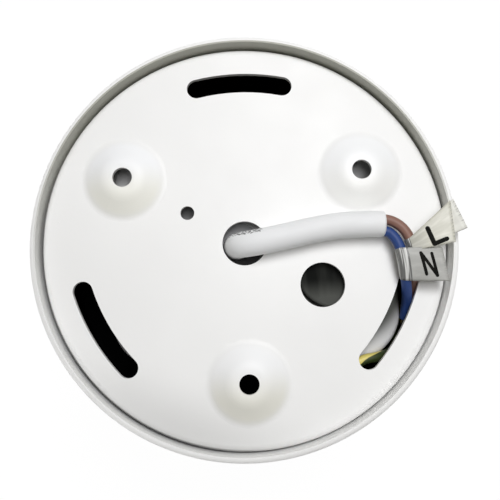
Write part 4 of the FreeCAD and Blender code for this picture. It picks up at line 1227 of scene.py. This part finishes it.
@dataclass
class TapeFlag:
    """A strip of tape folded round a core, with both ends stuck together into a flag.

    Sizes are in millimetres. The span is the stretch of the core that the fold holds, in shares of the
    core's line. The edges are the front layer's and the back layer's free ends.
    """

    name: str
    node: str
    slot: str
    span: tuple[float, float]
    front_edge: tuple[Spot, Spot]
    back_edge: tuple[Spot, Spot]
    strokes: list[list[Flat]]
    stroke_width: float
    play: float = 0.12
    thickness: float = 0.1
    bow: float = 0.25
    back_bow: float = 0.4
    crease_degrees: float = 70.0
    letter_lift: float = 0.03
    rows: int = 14
    wrap_steps: int = 12
    layer_steps: int = 12
    wrap_front: int = 0

    def section(self, core: Cord, share: float) -> list[Vector]:
        """One line over the tape, from the front layer's free end round the core to the back layer's.

        Args:
            core: the core that the fold holds.
            share: how far along the fold the section lies, from 0 to 1.

        Returns:
            The section's points, in metres.
        """
        line = core.line
        reach = (self.span[0] + (self.span[1] - self.span[0]) * share) * (len(line) - 1)
        index = min(int(reach), len(line) - 2)
        centre = line[index].lerp(line[index + 1], reach - index)
        tangent = (line[index + 1] - line[index]).normalized()
        front = in_metres(self.front_edge[0]).lerp(in_metres(self.front_edge[1]), share)
        back = in_metres(self.back_edge[0]).lerp(in_metres(self.back_edge[1]), share)
        out = front - centre
        out = (out - tangent * out.dot(tangent)).normalized()
        up = out.cross(tangent)
        if up.z < 0:
            up = -up
        radius = (core.radius + self.play) * MM
        crown, keel = centre + up * radius, centre - up * radius
        belly = up * (self.bow * MM)
        points = []
        for step in range(self.layer_steps):
            way = step / self.layer_steps
            points.append(front.lerp(crown, way) + belly * math.sin(math.pi * way))
        for step in range(self.wrap_steps + 1):
            turn = math.pi * step / self.wrap_steps
            points.append(centre + (up * math.cos(turn) - out * math.sin(turn)) * radius)
        for step in range(1, self.layer_steps + 1):
            way = step / self.layer_steps
            points.append(keel.lerp(back, way) + belly * math.sin(math.pi * way) * self.back_bow)
        return points

    def build(self, wardrobe: Wardrobe, core: Cord) -> list[bpy.types.Object]:
        """Build the tape and its letter.

        Args:
            wardrobe: what dresses them.
            core: the core that the fold holds, already built.

        Returns:
            The tape and the letter.
        """
        sections = [self.section(core, index / (self.rows - 1)) for index in range(self.rows)]
        work = bmesh.new()
        surface = work.loops.layers.uv.new("UVMap")
        grid = [[work.verts.new(point) for point in section] for section in sections]
        wide = len(sections[0]) - 1
        wrap_start, wrap_end = self.layer_steps - self.wrap_front, self.layer_steps + self.wrap_steps
        wrapped = []
        for row in range(self.rows - 1):
            for column in range(wide):
                places = ((row, column), (row, column + 1), (row + 1, column + 1), (row + 1, column))
                face = work.faces.new([grid[along][across] for along, across in places])
                for loop, (along, across) in zip(face.loops, places):
                    loop[surface].uv = (across / wide, along / (self.rows - 1))
                wrapped.append(wrap_start <= column < wrap_end)
        mesh = settled(work, self.name)
        smooth(mesh, self.crease_degrees)
        piece = new_piece(self.name, mesh)
        letter = self.letter(piece)
        thicken = piece.modifiers.new("tape", "SOLIDIFY")
        thicken.thickness = self.thickness * MM
        thicken.offset = 0.0
        wardrobe.dress(piece, self.slot)
        piece.data.materials.append(wardrobe.material(WRAP_TAPE))
        piece.data.polygons.foreach_set("material_index", wrapped)
        wardrobe.dress(letter, self.slot, LETTER_INK)
        for item in (piece, letter):
            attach(item, Body.HOUSING.value)
        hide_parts(self.node)
        return [piece, letter]

    def letter(self, tape: bpy.types.Object) -> bpy.types.Object:
        """Lay the letter's strokes on the front layer.

        Args:
            tape: the tape without its thickness.

        Returns:
            The letter as one piece.
        """
        graph = bpy.context.evaluated_depsgraph_get()
        skin = BVHTree.FromObject(tape, graph)
        lift = (self.thickness / 2 + self.letter_lift) * MM
        work = bmesh.new()
        for stroke in self.strokes:
            line = [Vector((x, y)) * MM for x, y in stroke]
            lay_stroke(work, line, self.stroke_width * MM, skin, lift)
        name = f"{self.name}_letter"
        return new_piece(name, settled(work, name))


def lay_stroke(
    work: bmesh.types.BMesh, line: Sequence[Vector], width: float, skin: BVHTree, lift: float,
) -> None:
    """Lay one pen stroke with round ends on a surface.

    Args:
        work: the mesh that takes the stroke.
        line: the stroke's corners seen from above, in metres.
        width: the pen's width.
        skin: the surface under the stroke.
        lift: how far the stroke stands above the surface.
    """
    cap_steps, ink_depth = 6, 0.6
    for start, end in zip(line, line[1:]):
        way = (end - start).normalized()
        across = Vector((-way.y, way.x)) * width / 2
        steps = max(2, round((end - start).length / width * 2))
        middle = [start.lerp(end, index / steps) for index in range(steps + 1)]
        left = [point + across for point in middle]
        right = [point - across for point in middle]
        caps = []
        for centre, sign in ((end, 1), (start, -1)):
            caps.append([
                centre + (across * math.cos(turn) + way * (width / 2) * math.sin(turn)) * sign
                for turn in (math.pi * index / cap_steps for index in range(1, cap_steps))
            ])
        outline = left + caps[0] + list(reversed(right)) + caps[1]
        top = [work.verts.new(dropped(point, skin, lift)) for point in outline]
        low = [work.verts.new(vertex.co - Vector((0, 0, lift * ink_depth))) for vertex in top]
        upper = work.faces.new(top)
        lower = work.faces.new(list(reversed(low)))
        for index in range(len(top)):
            following = (index + 1) % len(top)
            work.faces.new((top[following], top[index], low[index], low[following]))
        bmesh.ops.recalc_face_normals(work, faces=work.faces)
        bmesh.ops.triangulate(work, faces=[upper, lower])


def dropped(spot: Vector, skin: BVHTree, lift: float) -> Vector:
    """Drop a place seen from above onto a surface and lift it a little.

    Args:
        spot: the place, in metres.
        skin: the surface.
        lift: how far it is lifted.

    Returns:
        The place on the surface.
    """
    well_above, beside = 30.0 * MM, 4.0 * MM
    hit, _, _, _ = skin.ray_cast(Vector((spot.x, spot.y, well_above)), Vector((0, 0, -1)))
    if hit is None:
        hit, _, _, _ = skin.find_nearest(Vector((spot.x, spot.y, beside)))
    return Vector((spot.x, spot.y, hit.z + lift))


@dataclass
class SupplyWiring:
    """The supply cable, its two cores with their bare ends and flags, and the earth wire.

    Sizes are in millimetres and places in the part's frame. A letter's strokes are as seen from above.
    """

    cable: Cord = field(default_factory=lambda: Cord(
        "sheathed_cable", "supply_cable", "cable_sheath",
        [
            (-2.25, -0.5, -11.5), (-2.25, -0.5, -2.4), (1.5, -0.5, 0.35), (9.6, 0.9, 0.35),
            (17.5, 2.5, 0.35), (25.0, 3.3, 0.35), (32.5, 3.0, 0.35),
        ], 3.05, 44.3, "bare", "medium",
    ))
    live: Cord = field(default_factory=lambda: Cord(
        "brown_core", "live_core", "brown_insulation",
        [
            (27.6, 4.5, 0.35), (32.7, 4.3, 0.4), (35.6, 2.9, 1.0), (37.5, 0.6, 1.3),
            (38.6, -2.6, 1.3), (39.1, -6.0, 0.9), (39.1, -9.0, -1.3), (39.0, -11.2, -4.6),
            (40.2, -13.0, -7.6), (40.6, -15.6, -10.4),
        ], 1.2, 33.1, "bare", "limp",
    ))
    neutral: Cord = field(default_factory=lambda: Cord(
        "blue_core", "neutral_core", "blue_insulation",
        [
            (27.6, 1.9, 0.35), (32.7, 1.7, 0.4), (34.6, -0.1, 1.0), (35.7, -2.6, 1.3),
            (36.2, -5.6, 1.2), (36.8, -9.2, 0.2), (37.5, -12.2, -2.2), (38.1, -14.4, -5.0),
            (38.2, -16.7, -7.2), (38.1, -18.9, -8.6),
        ], 1.2, 30.4, "bare", "limp",
    ))
    earth: Cord = field(default_factory=lambda: Cord(
        "earth_jumper", "earth_wire", "earth_insulation",
        [
            (22.25, -31.33, -5.8), (26.2, -28.24, -5.8), (30.8, -27.9, -6.6), (34.9, -27.1, -9.4),
            (38.0, -23.8, -15.3), (40.8, -18.2, -21.2), (42.6, -12.4, -26.8), (43.1, -8.6, -30.9),
            (43.0, -5.9, -32.2), (43.0, -3.7, -32.2),
        ], 1.2, 49.4, "object", "limp",
    ))
    live_strands: StrandBundle = field(default_factory=lambda: StrandBundle(
        "live_bare_end", "live_strands",
        [(40.6, -15.6, -10.4), (40.81, -16.95, -11.86), (40.6, -18.6, -13.2)],
    ))
    neutral_strands: StrandBundle = field(default_factory=lambda: StrandBundle(
        "neutral_bare_end", "neutral_strands",
        [(38.1, -18.9, -8.6), (38.02, -20.59, -9.67), (37.0, -22.6, -11.0)],
    ))
    live_flag: TapeFlag = field(default_factory=lambda: TapeFlag(
        "live_tape", "live_flag", "clear_tape", (0.36, 0.47),
        ((46.8, 7.35, 4.5), (47.4, -2.2, 4.6)), ((47.6, 7.7, 4.2), (50.4, 0.9, 4.2)),
        [[(41.5, 1.2), (42.8, -2.4), (45.5, -1.4)]], 1.0,
    ))
    neutral_flag: TapeFlag = field(default_factory=lambda: TapeFlag(
        "neutral_tape", "neutral_flag", "grey_tape", (0.32, 0.58),
        ((44.7, -3.1, 3.0), (46.0, -10.8, 2.5)), ((44.9, -3.2, 2.7), (46.2, -10.9, 2.2)),
        [[(41.0, -9.1), (39.8, -4.25), (43.4, -9.5), (42.25, -4.45)]], 0.7, wrap_front=2,
    ))

    def build(self, wardrobe: Wardrobe) -> None:
        """Args:
            wardrobe: what dresses them.
        """
        cords = (self.cable, self.live, self.neutral, self.earth)
        skins = {cord.name: cord.build(wardrobe) for cord in cords}
        live_end = self.live_strands.build(wardrobe)
        neutral_end = self.neutral_strands.build(wardrobe)
        live_tape = self.live_flag.build(wardrobe, self.live)
        neutral_tape = self.neutral_flag.build(wardrobe, self.neutral)
        self.cable.declare(skins[self.cable.name])
        self.live.declare(skins[self.live.name], [live_end, *live_tape])
        self.neutral.declare(skins[self.neutral.name], [neutral_end, *neutral_tape])
        self.earth.declare(skins[self.earth.name])


@dataclass
class LampLead:
    """The lead from the partition's grommet to the lamp head.

    Sizes are in millimetres.
    """

    route: list[Spot] = field(default_factory=lambda: [
        (0.0, 0.0, -33.05), (0.0, 0.0, -43.6), (0.0, 6.8, -46.0),
        (0.0, 6.8, -52.0), (0.0, 0.0, -54.4), (0.0, 0.0, -64.0),
    ])
    radius: float = 1.8

    def build(self, wardrobe: Wardrobe) -> None:
        """Build the lead.

        Args:
            wardrobe: what dresses it.
        """
        line = route_line(self.route)
        piece = Tube("lamp_supply_lead", line, self.radius * MM).make()
        wardrobe.dress(piece, "lead_sheath")
        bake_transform(piece)
        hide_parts("lamp_lead")


@dataclass
class FacetReflector:
    """The bowl of bright facets round the light source. Sizes are in millimetres."""

    mouth_radius: float = 30.4
    neck_radius: float = 8.5
    facets_round: int = 36
    facets_deep: int = 9
    facet_steps: int = 4
    facet_bulge: float = 0.22
    neck_drop: float = 2.0
    seam: float = 0.005
    crease_degrees: float = 8.0

    def tree(self, mouth_height: float, neck_height: float) -> bpy.types.NodeTree:
        """Make the node tree that bends a grid into the bowl and swells each facet.

        Args:
            mouth_height: where the bowl's mouth lies along Z, in metres.
            neck_height: where its neck lies.

        Returns:
            The tree.
        """
        tree, given = sized_tree("facet_bowl", {
            "Mouth Radius": self.mouth_radius * MM, "Neck Radius": self.neck_radius * MM,
            "Mouth Height": mouth_height, "Neck Height": neck_height, "Bulge": self.facet_bulge * MM,
            "Facets Round": float(self.facets_round), "Facets Deep": float(self.facets_deep),
        })
        mouth, neck = Sum(tree, given["Mouth Radius"]), Sum(tree, given["Neck Radius"])
        depth = Sum(tree, given["Neck Height"]) - given["Mouth Height"]
        grid = tree.add("GeometryNodeMeshGrid", {
            "Size X": 1.0, "Size Y": 1.0,
            "Vertices X": self.facets_round * self.facet_steps + 1,
            "Vertices Y": self.facets_deep * self.facet_steps + 1,
        }).outputs["Mesh"]
        spot = tree.add("ShaderNodeSeparateXYZ", {"Vector": tree.add("GeometryNodeInputPosition").outputs[0]})
        share_round, share_deep = (Sum(tree, spot.outputs[axis]) + 0.5 for axis in ("X", "Y"))
        middle = (mouth * mouth - neck * neck - depth * depth) / ((mouth - neck) * 2.0)
        bend = mouth - middle
        last = depth.work("ARCTAN2", neck - middle)
        lift = share_deep * last
        swell = (share_round * given["Facets Round"]).work("FRACT") - 0.5
        swell_deep = (share_deep * given["Facets Deep"]).work("FRACT") - 0.5
        dip = ((swell * swell + swell_deep * swell_deep) * -2.0 + 1.0) * given["Bulge"]
        reach = bend - dip
        radius = middle + reach * lift.work("COSINE")
        height = Sum(tree, given["Mouth Height"]) + reach * lift.work("SINE")
        turn = share_round * math.tau
        place = tree.add("ShaderNodeCombineXYZ", {
            "X": radius * turn.work("COSINE"), "Y": radius * turn.work("SINE"), "Z": height,
        }).outputs["Vector"]
        bowl = tree.add("GeometryNodeSetPosition", {"Geometry": grid, "Position": place}).outputs["Geometry"]
        feeds = {"Geometry": bowl, "Distance": self.seam * MM}
        closed = tree.add("GeometryNodeMergeByDistance", feeds).outputs["Geometry"]
        return ended_tree(tree, closed, given["Finish"])

    def build(self, wardrobe: Wardrobe) -> None:
        """Line the bowl with facets. The plain bowl stays behind them.

        Args:
            wardrobe: what dresses them.
        """
        low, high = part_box("reflector")
        carrier = new_piece("facet_carrier", bpy.data.meshes.new("facet_carrier"))
        finish = wardrobe.material(FINISHES["bright_reflector"])
        neck_height = high.z - self.neck_drop * MM
        piece = apply_tree(carrier, self.tree(low.z, neck_height), "facet_lining", {"Finish": finish})
        work = bmesh.new()
        work.from_mesh(piece.data)
        bmesh.ops.recalc_face_normals(work, faces=work.faces)
        work.to_mesh(piece.data)
        work.free()
        smooth(piece.data, self.crease_degrees)
        wardrobe.dress(piece, "bright_reflector")
        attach(piece, Body.LAMP.value)


@dataclass
class ConstructionFrame:
    """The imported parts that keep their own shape."""

    own_finishes: ClassVar[dict[str, str]] = {
        "housing_shell": "housing_coat", "driver_lid": "lid_plastic", "cable_gland": "gland_rubber",
    }

    frame: dict

    def build(self, wardrobe: Wardrobe) -> None:
        """Give every part its own finish, or else the finish of its slot.

        Args:
            wardrobe: what dresses them.
        """
        for item in self.frame["record"]["subparts"]:
            node = self.frame["nodes"][item["node"]]
            own = FINISHES.get(self.own_finishes.get(item["node"]))
            wardrobe.dress(node, item["material_slot"], own)


@dataclass
class Studio:
    """Camera, lamps, world and floor. Sizes are in metres.

    A lamp has its name, its place, the length of its side and its power in watts.
    """

    pixels: float = 500.0
    focal_pixels: float = 600.0
    sensor: float = 0.036
    nearest_shown: float = 0.005
    camera_spot: Spot = (0.000120, -0.017190, 0.137900)
    right: Spot = (0.99937, -0.035274, 0.003947)
    up: Spot = (0.034625, 0.993319, 0.110084)
    back: Spot = (-0.0078035, -0.109878, 0.993914)
    floor_reach: float = 3.0
    floor_gap: float = 0.0002
    floor_shift: float = 0.6
    floor_tone: Colour = (0.82, 0.82, 0.82)
    floor_glow: float = 1.06
    glow_share: float = 0.8
    shown_glow_share: float = 0.1
    white: Colour = (1.0, 1.0, 1.0)
    world_tone: Colour = (0.155, 0.151, 0.138)
    lamp_tone: Colour = (0.975, 0.976, 0.99)
    lamp_aim: Spot = (0.0, 0.0, -0.05)
    lamps: tuple[tuple[str, Spot, float, float], ...] = (
        ("window_lamp", (0.07, 0.155, 0.38), 0.16, 1.03),
        ("front_lamp", (0.04, 0.02, 0.45), 0.16, 0.5),
        ("side_lamp", (-0.26, -0.2, -0.05), 0.1, 0.22),
    )

    def build(self) -> None:
        """Set up everything round the object."""
        self.add_camera()
        self.add_floor()
        self.add_world()
        for lamp in self.lamps:
            self.add_lamp(*lamp)
        bpy.context.scene.view_settings.view_transform = "Standard"

    def add_camera(self) -> None:
        """Place the camera where the photograph was taken."""
        data = bpy.data.cameras.new("camera")
        data.sensor_width = self.sensor / MM
        data.lens = data.sensor_width * self.focal_pixels / self.pixels
        data.clip_start = self.nearest_shown
        camera = bpy.data.objects.new("camera", data)
        turn = Matrix((self.right, self.up, self.back)).transposed().to_4x4()
        camera.matrix_world = Matrix.Translation(self.camera_spot) @ turn
        bpy.context.scene.collection.objects.link(camera)
        bpy.context.scene.camera = camera

    def add_lamp(self, name: str, spot: Spot, size: float, power: float) -> None:
        """Add a square lamp that faces the object.

        Args:
            name: its name.
            spot: where it hangs.
            size: the length of its side.
            power: its power in watts.
        """
        data = bpy.data.lights.new(name, "AREA")
        data.size = size
        data.energy = power
        data.color = self.lamp_tone
        lamp = bpy.data.objects.new(name, data)
        way = Vector(spot) - Vector(self.lamp_aim)
        lamp.matrix_world = Matrix.Translation(spot) @ way.to_track_quat("Z", "Y").to_matrix().to_4x4()
        bpy.context.scene.collection.objects.link(lamp)

    def seen_directly(self, tree: Tree) -> Sum:
        """Tell rays that show a surface from rays that light one.

        Args:
            tree: the material's or world's tree.

        Returns:
            1 for what the camera, a mirror or glass shows, and 0 for light on surfaces.
        """
        rays = tree.add("ShaderNodeLightPath").outputs
        shown = Sum(tree, rays["Is Camera Ray"])
        return (shown + rays["Is Glossy Ray"] + rays["Is Transmission Ray"]).work("MINIMUM", 1.0)

    def add_world(self) -> None:
        """A white world that lights the object softly."""
        world = bpy.data.worlds.new("world")
        world.use_nodes = True
        tree = Tree(world.node_tree)
        tree.tree.nodes.clear()
        tone = tree.mixed(self.seen_directly(tree), self.world_tone, self.white)
        light = tree.add("ShaderNodeBackground", {"Strength": 1.0, "Color": tone})
        tree.feed(tree.add("ShaderNodeOutputWorld").inputs["Surface"], light.outputs[0])
        bpy.context.scene.world = world

    def add_floor(self) -> None:
        """A pale floor under the object that reads white, keeps a faint shadow and is clear from below."""
        low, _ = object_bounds()
        work = bmesh.new()
        bmesh.ops.create_grid(work, x_segments=1, y_segments=1, size=self.floor_reach)
        for vertex in work.verts:
            vertex.co.x += self.floor_shift
            vertex.co.z = low.z - self.floor_gap
        floor = new_piece("floor", settled(work, "floor"))
        floor.data.materials.append(self.floor_material())
        floor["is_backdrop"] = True

    def floor_material(self) -> bpy.types.Material:
        """Make the floor's material, partly plain and partly glowing, and see-through from below.

        Returns:
            The material.
        """
        material = bpy.data.materials.new("floor_white")
        material.use_nodes = True
        tree = Tree(material.node_tree)
        tree.tree.nodes.clear()
        plain = tree.add("ShaderNodeBsdfDiffuse", {"Color": (*self.floor_tone, 1.0)}).outputs[0]
        glow = {"Color": (*self.white, 1.0), "Strength": self.floor_glow}
        bright = tree.add("ShaderNodeEmission", glow).outputs[0]
        share = self.seen_directly(tree) * self.shown_glow_share + self.glow_share
        top = tree.add("ShaderNodeMixShader", {0: share, 1: plain, 2: bright}).outputs[0]
        below = tree.add("ShaderNodeNewGeometry").outputs["Backfacing"]
        clear = tree.add("ShaderNodeBsdfTransparent").outputs[0]
        sided = tree.add("ShaderNodeMixShader", {0: below, 1: top, 2: clear}).outputs[0]
        tree.feed(tree.add("ShaderNodeOutputMaterial").inputs["Surface"], sided)
        return material


def main() -> None:
    """Load the frame, build and report every sub-assembly and set up the studio."""
    logging.basicConfig(level=logging.INFO, format="%(message)s")
    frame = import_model()
    wardrobe = Wardrobe()
    ConstructionFrame(frame).build(wardrobe)
    SupplyWiring().build(wardrobe)
    LampLead().build(wardrobe)
    FacetReflector().build(wardrobe)
    for piece in wardrobe.dressed:
        LOG.info("%s: %d faces", piece.name, len(piece.data.polygons))
    Studio().build()


if __name__ == "__main__":
    main()
